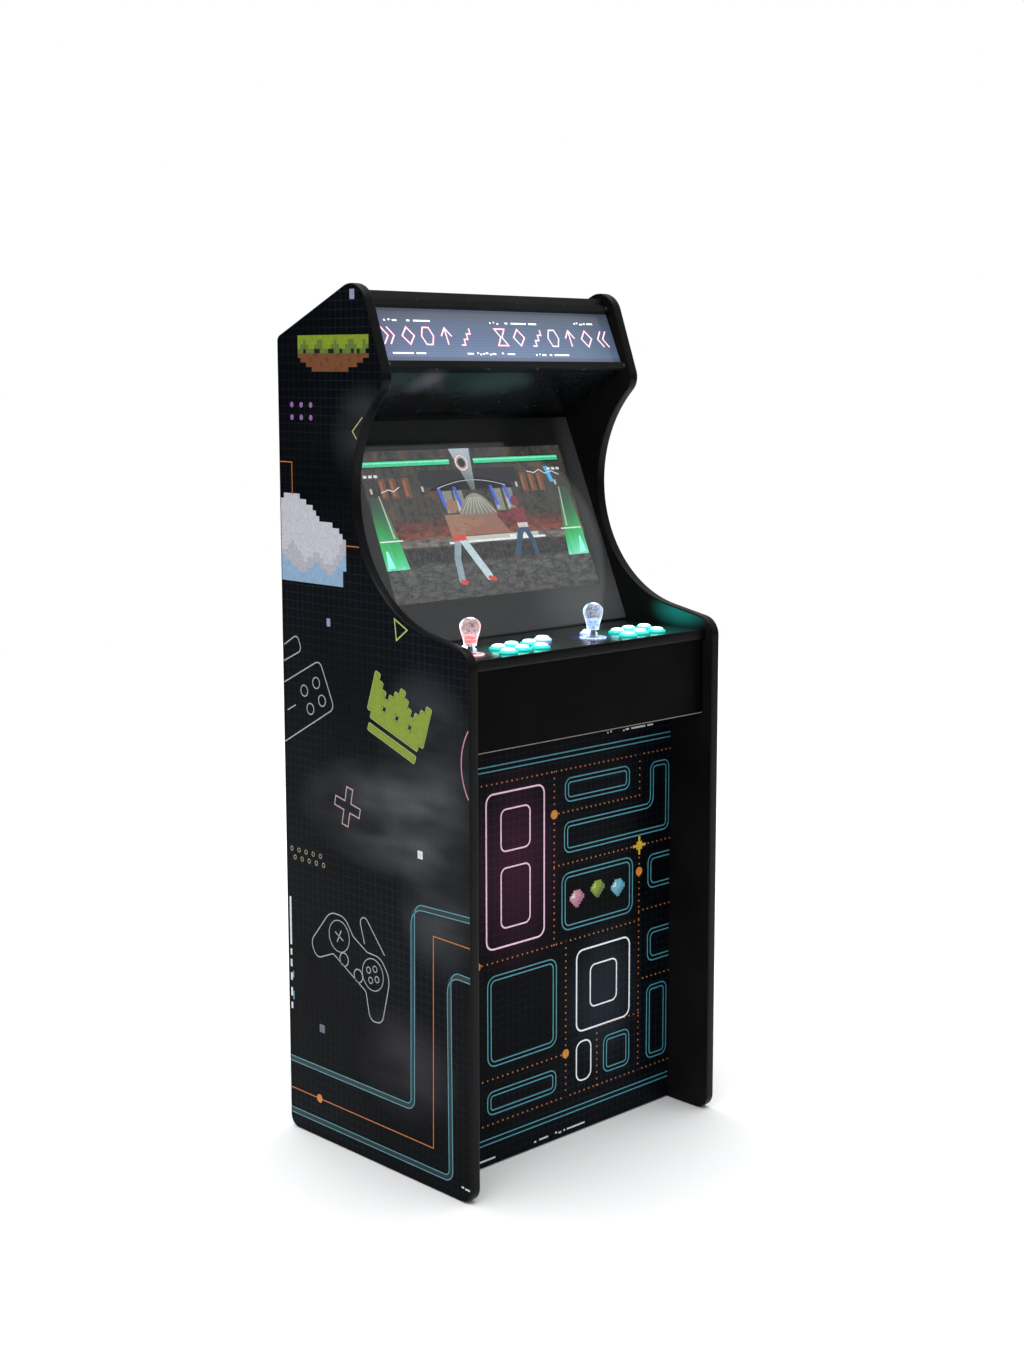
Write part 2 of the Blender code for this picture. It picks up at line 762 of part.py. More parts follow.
def power(panel, inside):
    """Mains inlet with its socket, and the rocker switch beside it in the same flange."""
    x, z = INLET_X, INLET_Z
    near = inside - 18 * MM
    far = REAR_FACE + 20 * MM
    wide = 26 * MM
    tall = 13 * MM
    flange = REAR_FACE + 2.5 * MM
    hole = box(
        "inlet_hole", (x - wide, near, z - tall), (x + wide, far, z + tall), cutter=True
    )
    cut(panel, hole)
    less = 0.4 * MM
    inlet = box(
        "power_inlet",
        (x - wide + less, near, z - tall + less),
        (x + wide - less, REAR_FACE + 1 * MM, z + tall - less),
        dark_plastic(),
    )
    lip = 4 * MM
    edge = box(
        "inlet_flange",
        (x - wide - lip, REAR_FACE + GAP, z - tall - lip),
        (x + wide + lip, flange, z + tall + lip),
        cutter=True,
    )
    joined(inlet, edge)
    pin_side = x + 10 * MM
    socket = box(
        "inlet_socket",
        (pin_side - 12 * MM, REAR_FACE - 14 * MM, z - 9 * MM),
        (pin_side + 12 * MM, far, z + 9 * MM),
        cutter=True,
    )
    switch_side = x - 14 * MM
    well = box(
        "switch_well",
        (switch_side - 6 * MM, REAR_FACE - 14 * MM, z - 10 * MM),
        (switch_side + 6 * MM, far, z + 10 * MM),
        cutter=True,
    )
    cut(inlet, socket, well)
    axle = REAR_FACE - 4 * MM
    rocker(switch_side, axle, z)


def rocker(x, y, z):
    """The rocker: a drum about X with two flats that meet in a shallow valley on its outer side."""
    half = 5.5 * MM
    radius = 9 * MM
    drum = rod("power_switch", (x - half, y, z), (x + half, y, z), radius, 12, dark_plastic(), origin=(x, y, z))
    for name, tilt in (("upper", 0.35), ("lower", -0.12)):
        flat = box(
            f"rocker_{name}_flat",
            (-20 * MM, 6 * MM, -20 * MM),
            (20 * MM, 26 * MM, 20 * MM),
            cutter=True,
            origin=(0, 0, 0),
        )
        flat.location = (x, y, z)
        flat.rotation_euler = (tilt, 0, 0)
        cut(drum, flat)


def inside_parts():
    """Floor board, computer and power supply."""
    front = KICK_FRONT + KICK_THICK + GAP
    back = REAR_FACE - PANEL - GAP
    low = 42 * MM
    top = low + BOARD
    box("floor_board", (-FIT, front, low), (FIT, back, top), raw_board())
    seat = top + GAP
    box("computer", (-190 * MM, -60 * MM, seat), (50 * MM, 150 * MM, seat + 60 * MM), dark_plastic())
    box("power_supply", (110 * MM, -20 * MM, seat), (260 * MM, 120 * MM, seat + 86 * MM), steel())


def main():
    clear_scene()
    collection(PARTS)
    collection(CUTTERS)
    side("left", -1)
    side("right", 1)
    roof()
    marquee()
    screen()
    control_box()
    buttons()
    for player, x, y in stick_points():
        stick(player, x, y)
    rear()
    inside_parts()


main()
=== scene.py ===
"""Looks of the arcade cabinet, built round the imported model: boards and moldings, printed art, lit controls,
screen, marquee, rear fittings, and a plain studio. Metres, +Z up, the front faces -Y."""

import json
import math

import bmesh
import bpy
from mathutils import Matrix, Vector

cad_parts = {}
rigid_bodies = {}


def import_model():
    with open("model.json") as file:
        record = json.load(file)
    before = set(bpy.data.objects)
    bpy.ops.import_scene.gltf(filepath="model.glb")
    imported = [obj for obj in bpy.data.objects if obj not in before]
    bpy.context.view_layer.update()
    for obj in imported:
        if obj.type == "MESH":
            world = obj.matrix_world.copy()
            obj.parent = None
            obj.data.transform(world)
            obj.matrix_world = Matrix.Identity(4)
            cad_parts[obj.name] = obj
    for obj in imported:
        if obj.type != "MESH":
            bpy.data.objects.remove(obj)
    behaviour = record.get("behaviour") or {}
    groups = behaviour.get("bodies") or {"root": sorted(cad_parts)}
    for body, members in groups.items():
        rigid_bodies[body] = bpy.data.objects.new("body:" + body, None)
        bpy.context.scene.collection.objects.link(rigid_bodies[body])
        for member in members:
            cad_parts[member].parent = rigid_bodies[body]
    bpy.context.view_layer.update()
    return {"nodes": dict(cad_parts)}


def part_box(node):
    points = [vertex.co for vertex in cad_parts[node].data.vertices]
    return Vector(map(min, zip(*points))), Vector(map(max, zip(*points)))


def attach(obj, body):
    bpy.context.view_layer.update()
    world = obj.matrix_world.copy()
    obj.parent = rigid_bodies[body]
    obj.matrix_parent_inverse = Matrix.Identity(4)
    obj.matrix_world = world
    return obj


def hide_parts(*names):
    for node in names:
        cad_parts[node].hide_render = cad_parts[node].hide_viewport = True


MM = 0.001

for leftover in list(bpy.data.objects):
    bpy.data.objects.remove(leftover)
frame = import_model()
nodes = frame["nodes"]

# Faces of the CAD that several pieces share: the left board's outer and inner face, the deck's top and the
# kick panel's front
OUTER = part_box("left_side_panel")[0].x
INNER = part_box("left_side_panel")[1].x
DECK_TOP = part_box("control_panel")[1].z
KICK_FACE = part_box("kick_panel")[0].y

# Printed ink: how far it stands off its face, how thick it is, and how far apart two levels of it are
FACE_LIFT = 0.05 * MM
INK = 0.12 * MM
LEVEL_STEP = 1.15


# ---------------------------------------------------------------- camera

def add_camera():
    """The photograph's view: 45 degrees round to the left, 8 degrees down, shifted a little."""
    data = bpy.data.cameras.new("camera")
    data.sensor_width = 36
    data.lens = 50.5
    data.shift_x = -0.0478
    data.shift_y = -0.032
    data.clip_start = 0.05
    data.clip_end = 60
    camera = bpy.data.objects.new("camera", data)
    bpy.context.scene.collection.objects.link(camera)
    yaw = math.radians(45.25)
    pitch = math.radians(7.95)
    roll = math.radians(-0.16)
    camera.location = (-2.360, -2.529, 1.399)
    turn = Matrix.Rotation(-yaw, 3, "Z") @ Matrix.Rotation(math.pi / 2 - pitch, 3, "X")
    camera.rotation_euler = (turn @ Matrix.Rotation(-roll, 3, "Z")).to_euler()
    bpy.context.scene.camera = camera


# ---------------------------------------------------------------- materials

class Nodes:
    """A material's node tree, written as calls that return sockets."""

    def __init__(self, name, **values):
        self.material = bpy.data.materials.new(name)
        self.material.use_nodes = True
        self.tree = self.material.node_tree
        self.shader = self.tree.nodes["Principled BSDF"]
        self.set(**values)
        self.place = self.tree.nodes.new("ShaderNodeTexCoord").outputs["Object"]

    def set(self, **values):
        """Constant values on the shader's own sockets; underscores stand for spaces."""
        for key, value in values.items():
            socket = self.shader.inputs[key.replace("_", " ")]
            socket.default_value = (*value, 1) if isinstance(value, tuple) else value

    def link(self, source, target):
        if isinstance(target, str):
            target = self.shader.inputs[target]
        if hasattr(source, "links"):
            self.tree.links.new(source, target)
        else:
            target.default_value = source

    def math(self, operation, first, second=0.0, third=0.0):
        node = self.tree.nodes.new("ShaderNodeMath")
        node.operation = operation
        for socket, value in zip(node.inputs, (first, second, third)):
            self.link(value, socket)
        return node.outputs[0]

    def axes(self):
        return self.tree_node("ShaderNodeSeparateXYZ", Vector=self.place).outputs

    def tree_node(self, kind, **inputs):
        node = self.tree.nodes.new(kind)
        for key, value in inputs.items():
            self.link(value, node.inputs[key])
        return node

    def stretched(self, x, y, z):
        node = self.tree_node("ShaderNodeMapping", Vector=self.place)
        node.inputs["Scale"].default_value = (x, y, z)
        return node.outputs[0]

    def noise(self, scale, detail=3.0, rough=0.5, vector=None):
        node = self.tree_node("ShaderNodeTexNoise", Vector=vector or self.place, Scale=scale)
        node.inputs["Detail"].default_value = detail
        node.inputs["Roughness"].default_value = rough
        return node.outputs["Fac"]

    def cells(self, scale, vector, randomness, feature):
        node = self.tree_node("ShaderNodeTexVoronoi", Vector=vector, Scale=scale)
        node.feature = feature
        node.inputs["Randomness"].default_value = randomness
        return node.outputs["Distance"]

    def span(self, value, low, high, to_low=0.0, to_high=1.0):
        node = self.tree_node("ShaderNodeMapRange", Value=value)
        ends = {"From Min": low, "From Max": high, "To Min": to_low, "To Max": to_high}
        for name, number in ends.items():
            node.inputs[name].default_value = number
        return node.outputs[0]

    def ramp(self, value, *stops):
        node = self.tree_node("ShaderNodeValToRGB", Fac=value)
        points = node.color_ramp.elements
        while len(points) < len(stops):
            points.new(0.5)
        for point, (place, colour) in zip(points, stops):
            point.position = place
            point.color = (*colour, 1)
        return node.outputs["Color"]

    def mix(self, factor, first, second, blend="MIX"):
        node = self.tree.nodes.new("ShaderNodeMix")
        node.data_type = "RGBA"
        node.blend_type = blend
        self.link(factor, node.inputs["Factor"])
        for name, colour in (("A", first), ("B", second)):
            socket = [s for s in node.inputs if s.name == name and s.type == "RGBA"][0]
            self.link((*colour, 1) if isinstance(colour, tuple) else colour, socket)
        return [s for s in node.outputs if s.type == "RGBA"][0]

    def bump(self, height, distance, strength):
        node = self.tree_node("ShaderNodeBump", Height=height)
        node.inputs["Distance"].default_value = distance
        node.inputs["Strength"].default_value = strength
        self.link(node.outputs[0], "Normal")

    def lines(self, value, pitch, width):
        """1 on a thin line every pitch along a coordinate, 0 between."""
        wave = self.math("FRACT", self.math("MULTIPLY", value, 1 / pitch))
        return self.math("LESS_THAN", wave, width / pitch)

    def glow(self, centre, size, power=2.0):
        """A soft spot: 1 in its middle, 0 at size, in metres along each axis (0 ignores the axis)."""
        total = None
        for value, middle, reach in zip(self.axes(), centre, size):
            if not reach:
                continue
            offset = self.math("MULTIPLY", self.math("SUBTRACT", value, middle), 1 / reach)
            square = self.math("MULTIPLY", offset, offset)
            total = square if total is None else self.math("ADD", total, square)
        near = self.math("MAXIMUM", self.math("SUBTRACT", 1.0, total), 0.0)
        return self.math("POWER", near, power)

    def light_spots(self, spots):
        """Emission in soft spots: (centre, size, colour) each, added up."""
        total = None
        for centre, size, colour in spots:
            spot = self.mix(self.glow(centre, size), (0.0, 0.0, 0.0), colour)
            total = spot if total is None else self.mix(1.0, total, spot, "ADD")
        if total:
            self.link(total, "Emission Color")
            self.set(Emission_Strength=1.0)


def vinyl(name, painted_glows=(), painted_sheens=()):
    """Printed black-blue vinyl: faint grid, scuffs, fine print screen, painted sheen patches and painted glow
    spots.
    """
    made = Nodes(name, Specular_IOR_Level=0.035)
    x, y, z = made.axes()
    across = made.math("ADD", x, y)
    grid = made.math("MAXIMUM", made.lines(across, 15 * MM, 0.9 * MM), made.lines(z, 15 * MM, 0.9 * MM))
    screen = made.math("MAXIMUM", made.lines(across, 3 * MM, 0.7 * MM), made.lines(z, 3 * MM, 0.7 * MM))
    patch = made.span(made.noise(3.2, 2), 0.35, 0.7)
    colour = made.ramp(patch, (0.0, (0.0006, 0.0007, 0.0010)), (1.0, (0.0022, 0.0027, 0.0042)))
    # Painted sheen: a sideways-streaked mask, and soft grey patches added to the colour where the gloss would
    # reflect the studio
    mottle = made.span(made.noise(4.5, 2, 0.5, made.stretched(1, 1, 3.0)), 0.34, 0.64, 0.15, 1.0)
    for centre, size, tone in painted_sheens:
        near = made.math("MULTIPLY", made.glow(centre, size, 1.3), mottle)
        colour = made.mix(1.0, colour, made.mix(near, (0.0, 0.0, 0.0), tone), "ADD")
    faint = made.math("MULTIPLY", grid, made.span(patch, 0, 1, 0.2, 0.7))
    colour = made.mix(faint, colour, (0.018, 0.038, 0.055))
    colour = made.mix(made.math("MULTIPLY", screen, 0.2), colour, (0.006, 0.009, 0.014))
    scuff = made.noise(40, 5, 0.7, made.stretched(1, 1, 0.08))
    marks = made.span(scuff, 0.68, 0.8, 0, 0.08)
    made.link(made.mix(marks, colour, (0.08, 0.09, 0.11)), "Base Color")
    made.light_spots(painted_glows)
    made.link(made.span(made.noise(9, 4), 0.3, 0.7, 0.24, 0.42), "Roughness")
    made.bump(made.noise(900, 2), 0.00004, 0.4)
    return made.material


def laminate(name, colour=(0.0012, 0.0012, 0.0014), rough=(0.3, 0.5), grain=1400, level=0.035, painted_glows=()):
    """Black laminated board: fine pebble, uneven sheen in its roughness, a few rubbed streaks, and painted glow
    spots where given.
    """
    made = Nodes(name, Specular_IOR_Level=level)
    cloud = made.noise(6, 3)
    lighter = tuple(c * 1.9 + 0.0005 for c in colour)
    base = made.mix(made.span(cloud, 0.35, 0.7), colour, lighter)
    rub = made.span(made.noise(25, 6, 0.75, made.stretched(1, 1, 0.15)), 0.66, 0.8, 0, 0.2)
    made.link(made.mix(rub, base, tuple(c * 5 + 0.01 for c in colour)), "Base Color")
    made.link(made.span(made.noise(14, 4), 0.3, 0.7, *rough), "Roughness")
    made.bump(made.noise(grain, 2), 0.00006, 0.5)
    made.light_spots(painted_glows)
    return made.material


def molding_rubber():
    """Satin black T-molding, worn a little lighter along its length."""
    made = Nodes("molding_rubber", Specular_IOR_Level=0.12)
    wear = made.span(made.noise(60, 5, 0.7), 0.55, 0.8, 0, 0.6)
    made.link(made.mix(wear, (0.0025, 0.0025, 0.003), (0.009, 0.0085, 0.0085)), "Base Color")
    made.link(made.span(made.noise(20, 3), 0.3, 0.7, 0.26, 0.42), "Roughness")
    made.bump(made.noise(500, 3), 0.00008, 0.4)
    return made.material


def gloss_black(name, rough, painted_glows):
    """Polished black sheet with faint dust and wipe marks in its roughness, and painted glow spots in its
    emission.
    """
    made = Nodes(name, Specular_IOR_Level=0.4)
    cloud = made.span(made.noise(8, 3), 0.4, 0.8)
    made.link(made.mix(cloud, (0.003, 0.003, 0.004), (0.006, 0.007, 0.009)), "Base Color")
    dust = made.span(made.noise(90, 5, 0.7), 0.6, 0.85, 0, 0.12)
    wipe = made.span(made.noise(12, 4, 0.6, made.stretched(1, 6, 1)), 0.4, 0.8, rough, rough + 0.08)
    made.link(made.math("ADD", dust, wipe), "Roughness")
    made.light_spots(painted_glows)
    return made.material


def bezel_card():
    """Dark grey printed card behind the sheet, with a fine grain, an uneven tone and two painted light spots.
    """
    made = Nodes("bezel_card", Specular_IOR_Level=0.15, Roughness=0.6)
    tone = made.span(made.noise(5, 3), 0.3, 0.7)
    base = made.mix(tone, (0.020, 0.019, 0.019), (0.034, 0.032, 0.031))
    grain = made.span(made.noise(110, 3), 0.35, 0.65, 0, 0.12)
    made.link(made.mix(grain, base, (0.044, 0.043, 0.042)), "Base Color")
    # Painted light: two soft emission spots on the card, low in the middle and up one side
    low_painted_glow = ((0.20, 0, 0.965), (0.17, 0, 0.10), (0.060, 0.060, 0.062))
    side_painted_glow = ((0.285, 0, 1.14), (0.06, 0, 0.28), (0.030, 0.030, 0.031))
    made.light_spots((low_painted_glow, side_painted_glow))
    made.bump(made.noise(140, 2), 0.00002, 0.1)
    return made.material


def clear_sheet(name, tint, gloss):
    """A thin clear sheet: see-through, with a Fresnel share of gloss and a trace of haze."""
    made = Nodes(name)
    tree = made.tree
    tree.nodes.remove(made.shader)
    through = made.tree_node("ShaderNodeBsdfTransparent")
    through.inputs["Color"].default_value = (*tint, 1)
    mirror = made.tree_node("ShaderNodeBsdfGlossy")
    made.link(made.span(made.noise(30, 4), 0.3, 0.8, gloss, gloss + 0.05), mirror.inputs["Roughness"])
    facing = made.tree_node("ShaderNodeLayerWeight").outputs["Facing"]
    share = made.math("MULTIPLY_ADD", made.math("POWER", facing, 5.0), 0.9, 0.04)
    both = tree.nodes.new("ShaderNodeMixShader")
    tree.links.new(share, both.inputs[0])
    tree.links.new(through.outputs[0], both.inputs[1])
    tree.links.new(mirror.outputs[0], both.inputs[2])
    output = [n for n in tree.nodes if n.type == "OUTPUT_MATERIAL"][0]
    tree.links.new(both.outputs[0], output.inputs["Surface"])
    return made.material


def metal(name, colour, rough):
    """Metal brushed along its height."""
    made = Nodes(name, Metallic=1.0)
    grain = made.noise(400, 4, 0.6, made.stretched(1, 1, 0.03))
    darker = tuple(c * 0.75 for c in colour)
    made.link(made.mix(made.span(grain, 0.3, 0.7), darker, colour), "Base Color")
    made.link(made.span(grain, 0.3, 0.7, rough, rough + 0.15), "Roughness")
    made.bump(grain, 0.00003, 0.4)
    return made.material


def plastic(name, colour, rough=(0.35, 0.5)):
    """Moulded plastic with a fine texture and an uneven tone."""
    made = Nodes(name, Specular_IOR_Level=0.4)
    cloud = made.span(made.noise(12, 3), 0.3, 0.7)
    made.link(made.mix(cloud, colour, tuple(c * 1.4 for c in colour)), "Base Color")
    made.link(made.span(made.noise(30, 3), 0.3, 0.7, *rough), "Roughness")
    made.bump(made.noise(900, 3), 0.00005, 0.5)
    return made.material


def wood_board():
    """Unfinished fibreboard: pressed flecks and a warm brown."""
    made = Nodes("raw_board", Roughness=0.8, Specular_IOR_Level=0.2)
    fleck = made.noise(320, 5, 0.7, made.stretched(1, 0.3, 1))
    made.link(made.ramp(fleck, (0.3, (0.16, 0.10, 0.055)), (0.7, (0.36, 0.25, 0.15))), "Base Color")
    made.bump(fleck, 0.0003, 0.5)
    return made.material


def ink(name, colour, light=0.0, wash=0.25):
    """Printed ink: its colour mottled a little, with an optional glow; printed neon looks lit, and on the kick
    panel that glow is painted light.
    """
    made = Nodes(name, Specular_IOR_Level=0.3, Roughness=0.35)
    mottle = made.span(made.noise(260, 3), 0.3, 0.7)
    tone = made.mix(mottle, tuple(c * (1 - wash) for c in colour), colour)
    made.link(tone, "Base Color")
    if light:
        made.link(tone, "Emission Color")
        made.set(Emission_Strength=light)
    made.bump(made.noise(900, 2), 0.00003, 0.3)
    return made.material


def lit_plastic(name, colour, core, strength):
    """Translucent plastic lit from inside, hottest where it faces up."""
    made = Nodes(name, Roughness=0.25, Base_Color=colour, Specular_IOR_Level=0.5)
    facing = made.tree_node("ShaderNodeNewGeometry").outputs["Normal"]
    up = made.tree_node("ShaderNodeSeparateXYZ", Vector=facing).outputs[2]
    speck = made.span(made.noise(400, 3), 0.3, 0.7, -0.12, 0.12)
    heat = made.math("ADD", made.span(up, 0.1, 0.95), speck)
    made.link(made.mix(heat, colour, core), "Emission Color")
    made.set(Emission_Strength=strength)
    made.bump(made.noise(700, 2), 0.00004, 0.3)
    return made.material


# ---------------------------------------------------------------- shapes

def keep(name, shape, material, body="cabinet", replaces=(), smooth=0, second=None):
    """Puts a bmesh in the scene as one piece that rides on a body."""
    bmesh.ops.recalc_face_normals(shape, faces=shape.faces)
    mesh = bpy.data.meshes.new(name)
    shape.to_mesh(mesh)
    shape.free()
    mesh.materials.append(material)
    if second:
        mesh.materials.append(second)
    if smooth:
        mesh.shade_smooth()
        mesh.set_sharp_from_angle(angle=math.radians(smooth))
    piece = bpy.data.objects.new(name, mesh)
    bpy.context.scene.collection.objects.link(piece)
    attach(piece, body)
    if replaces:
        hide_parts(*replaces)


def rounded(corners, step, inset=0.0, closed=True):
    """A line through corners (a, b, radius), each rounded in steps of about step degrees, moved in by inset."""
    points = []
    count = len(corners)
    for index, (a, b, radius) in enumerate(corners):
        corner = Vector((a, b))
        if not closed and index in (0, count - 1) or radius == 0:
            points.append(corner)
            continue
        before = (Vector(corners[index - 1][:2]) - corner).normalized()
        after = (Vector(corners[(index + 1) % count][:2]) - corner).normalized()
        half = before.angle(after) / 2
        centre = corner + (before + after).normalized() * radius / math.sin(half)
        start = corner + before * radius / math.tan(half) - centre
        sweep = math.pi - 2 * half
        turn = 1 if before.cross(after) < 0 else -1
        pieces = max(2, math.ceil(math.degrees(sweep) / step))
        reach = (radius - turn * inset) / radius
        for piece in range(pieces + 1):
            points.append(centre + Matrix.Rotation(turn * sweep * piece / pieces, 2) @ start * reach)
    return points


# The least share of a mitred joint's side, so that a sharp bend doesn't grow a spike
SHARPEST = 0.4


def ribbon(points, width, closed):
    """Quads of a line with mitred joints, as lists of four points."""
    points = [Vector(p) for p in points]
    left, right = [], []
    count = len(points)
    for index, point in enumerate(points):
        ways = []
        if closed or index > 0:
            ways.append((point - points[index - 1]).normalized())
        if closed or index < count - 1:
            ways.append((points[(index + 1) % count] - point).normalized())
        way = (ways[0] + ways[-1]).normalized()
        side = Vector((-way.y, way.x))
        reach = width / 2 / max(SHARPEST, side.dot(Vector((-ways[0].y, ways[0].x))))
        left.append(point + side * reach)
        right.append(point - side * reach)
    last = count if closed else count - 1
    return [
        (left[i], right[i], right[(i + 1) % count], left[(i + 1) % count]) for i in range(last)
    ]


def around(centre, radius, sides):
    """The corners of a regular polygon."""
    turns = [2 * math.pi * i / sides for i in range(sides)]
    return [(centre[0] + radius * math.cos(t), centre[1] + radius * math.sin(t)) for t in turns]


# The prints' thin neon line, the gap between two of them, the step round a bend in degrees, the dotted paths
NEON = 2.2
NEON_GAP = 8
ARC_STEP = 18
DOT_PITCH = 12.0
DOT_RADIUS = 1.7


class Print:
    """Inks on one flat face. Points are (across, up) in millimetres, and each ink is one thin solid mesh."""

    def __init__(self, name, origin, across, up, out=None):
        self.name = name
        self.sheets = {}
        across = Vector(across)
        up = Vector(up)
        out = Vector(out) if out else across.cross(up)
        self.place = Matrix.Translation(origin) @ Matrix((across, up, out)).transposed().to_4x4()

    def face(self, colour, points, level=0):
        shape, _ = self.sheets.setdefault(colour.name, (bmesh.new(), colour))
        height = FACE_LIFT + level * LEVEL_STEP * INK
        corners = [Vector(p) * MM for p in points]
        area = sum(a.cross(b) for a, b in zip(corners, corners[1:] + corners[:1]))
        if area < 0:
            corners.reverse()
        shape.faces.new([shape.verts.new((p.x, p.y, height)) for p in corners])

    def line(self, colour, points, width, closed=False, level=0):
        for quad in ribbon(points, width, closed):
            self.face(colour, quad, level)

    def block(self, colour, low, high, level=0):
        self.face(colour, ((low[0], low[1]), (high[0], low[1]), high, (low[0], high[1])), level)

    def frame(self, colour, low, high, radius, width=NEON):
        corners = ((*low, radius), (high[0], low[1], radius), (*high, radius), (low[0], high[1], radius))
        self.line(colour, rounded(corners, ARC_STEP), width, True)

    def double(self, colour, low, high, radius=14):
        """A rounded block drawn with two thin lines, one inside the other."""
        self.frame(colour, low, high, radius)
        inner_low = (low[0] + NEON_GAP, low[1] + NEON_GAP)
        inner_high = (high[0] - NEON_GAP, high[1] - NEON_GAP)
        self.frame(colour, inner_low, inner_high, max(4, radius - NEON_GAP))

    def disc(self, colour, centre, radius, sides, level=0):
        self.face(colour, around(centre, radius, sides), level)

    def circle(self, colour, centre, radius, width, sides, level=0):
        self.line(colour, around(centre, radius, sides), width, True, level)

    def dotted(self, colour, start, end):
        start = Vector(start)
        along = Vector(end) - start
        count = round(along.length / DOT_PITCH)
        for index in range(count + 1):
            self.disc(colour, start + along * index / count, DOT_RADIUS, 8)

    def pixels(self, inks, rows, corner, size, tilt=0.0, level=0):
        """Square cells from rows of characters; corner is the top left one's, before the tilt about it."""
        turn = Matrix.Rotation(math.radians(tilt), 2)
        corner = Vector(corner)
        for down, row in enumerate(rows):
            for along, mark in enumerate(row):
                if mark not in inks:
                    continue
                cell = [(along, -down), (along + 1, -down), (along + 1, -down - 1), (along, -down - 1)]
                self.face(inks[mark], [corner + turn @ (Vector(c) * size) for c in cell], level)

    def finish(self):
        for colour_name, (shape, colour) in self.sheets.items():
            bmesh.ops.remove_doubles(shape, verts=shape.verts, dist=1e-6)
            flat = list(shape.faces)
            grown = bmesh.ops.extrude_face_region(shape, geom=flat, use_keep_orig=True)["geom"]
            tops = [v for v in grown if isinstance(v, bmesh.types.BMVert)]
            bmesh.ops.translate(shape, verts=tops, vec=(0, 0, INK))
            bmesh.ops.transform(shape, matrix=self.place, verts=shape.verts)
            keep(f"{self.name}_{colour_name}", shape, colour)


def lathe(shape, profile, place, sides, closed=False):
    """Adds (radius, height) points, in millimetres, turned about the local Z of place."""
    rings = []
    turns = [2 * math.pi * i / sides for i in range(sides)]
    for radius, height in profile:
        count = 1 if radius == 0 else sides
        spots = [(radius * MM * math.cos(t), radius * MM * math.sin(t), height * MM) for t in turns[:count]]
        verts = [shape.verts.new(place @ Vector(p)) for p in spots]
        rings.append(verts * sides if count == 1 else verts)
    pairs = list(zip(rings, rings[1:]))
    if closed:
        pairs.append((rings[-1], rings[0]))
    for upper, lower in pairs:
        for i in range(sides):
            j = (i + 1) % sides
            corners = list(dict.fromkeys((upper[i], upper[j], lower[j], lower[i])))
            if len(corners) > 2:
                shape.faces.new(corners)


def upright(x, y, z):
    return Matrix.Translation((x, y, z))


def facing(point, out):
    """A place at point whose local Z is out."""
    return Matrix.Translation(point) @ Vector(out).to_track_quat("Z", "Y").to_matrix().to_4x4()


def add_box(shape, low, high, place=None, bevel=0.0):
    """Adds a box, in metres, to a bmesh, with rounded edges if asked."""
    part = bmesh.new()
    bmesh.ops.create_cube(part, size=1)
    low = Vector(low)
    high = Vector(high)
    bmesh.ops.scale(part, vec=high - low, verts=part.verts)
    bmesh.ops.translate(part, vec=(low + high) / 2, verts=part.verts)
    if bevel:
        bmesh.ops.bevel(part, geom=part.edges, offset=bevel, segments=2, affect="EDGES", profile=0.5)
    if place is not None:
        bmesh.ops.transform(part, matrix=place, verts=part.verts)
    mesh = bpy.data.meshes.new("box")
    part.to_mesh(mesh)
    part.free()
    shape.from_mesh(mesh)
    bpy.data.meshes.remove(mesh)


def soften(node, width=0.6 * MM):
    """Rounds a CAD node's sharp edges a little, for the highlights that real edges have."""
    obj = nodes[node]
    weld = obj.modifiers.new("weld", "WELD")
    weld.merge_threshold = 1e-6
    bevel = obj.modifiers.new("edges", "BEVEL")
    bevel.width = width
    bevel.segments = 2
    bevel.limit_method = "ANGLE"
    bevel.angle_limit = math.radians(40)
    bevel.use_clamp_overlap = True


def paint(material, *names):
    for name in names:
        slots = nodes[name].data.materials
        slots.clear()
        slots.append(material)


# ---------------------------------------------------------------- boards and moldings

OUTLINE = tuple(
    (y * MM, z * MM, radius * MM)
    for y, z, radius in (
        (-252, 0, 28),
        (252, 0, 22),
        (252, 1456.3, 12),
        (19.4, 1559.9, 45),
        (-47.3, 1377.2, 34),
        (43.8, 1292.2, 235),
        (43.8, 999.5, 229),
        (-252, 943.6, 36),
    )
)
EDGE_INSET = 2.8 * MM
MOLDING_WIDE = 19 * MM


def board_outline(inset):
    return rounded(OUTLINE, 3.0, inset)


def skin(rings):
    """The closed solid between two matching rings of points. Its first two faces are its ends."""
    shape = bmesh.new()
    ends = [[shape.verts.new(point) for point in ring] for ring in rings]
    for ring in ends:
        shape.faces.new(ring)
    for i in range(len(ends[0])):
        j = (i + 1) % len(ends[0])
        shape.faces.new((ends[0][i], ends[0][j], ends[1][j], ends[1][i]))
    return shape


def side_board(name, inner, outer, print_vinyl, inside):
    """One side: the whole outline as a smooth board, printed outside and plain black inside."""
    outline = board_outline(EDGE_INSET)
    shape = skin([[(x, y, z) for y, z in outline] for x in (inner, outer)])
    for index, face in enumerate(shape.faces):
        face.material_index = 0 if index == 1 else 1
    covers = [name + "_side_panel"]
    keep(name + "_side_board", shape, print_vinyl, replaces=covers, second=inside)


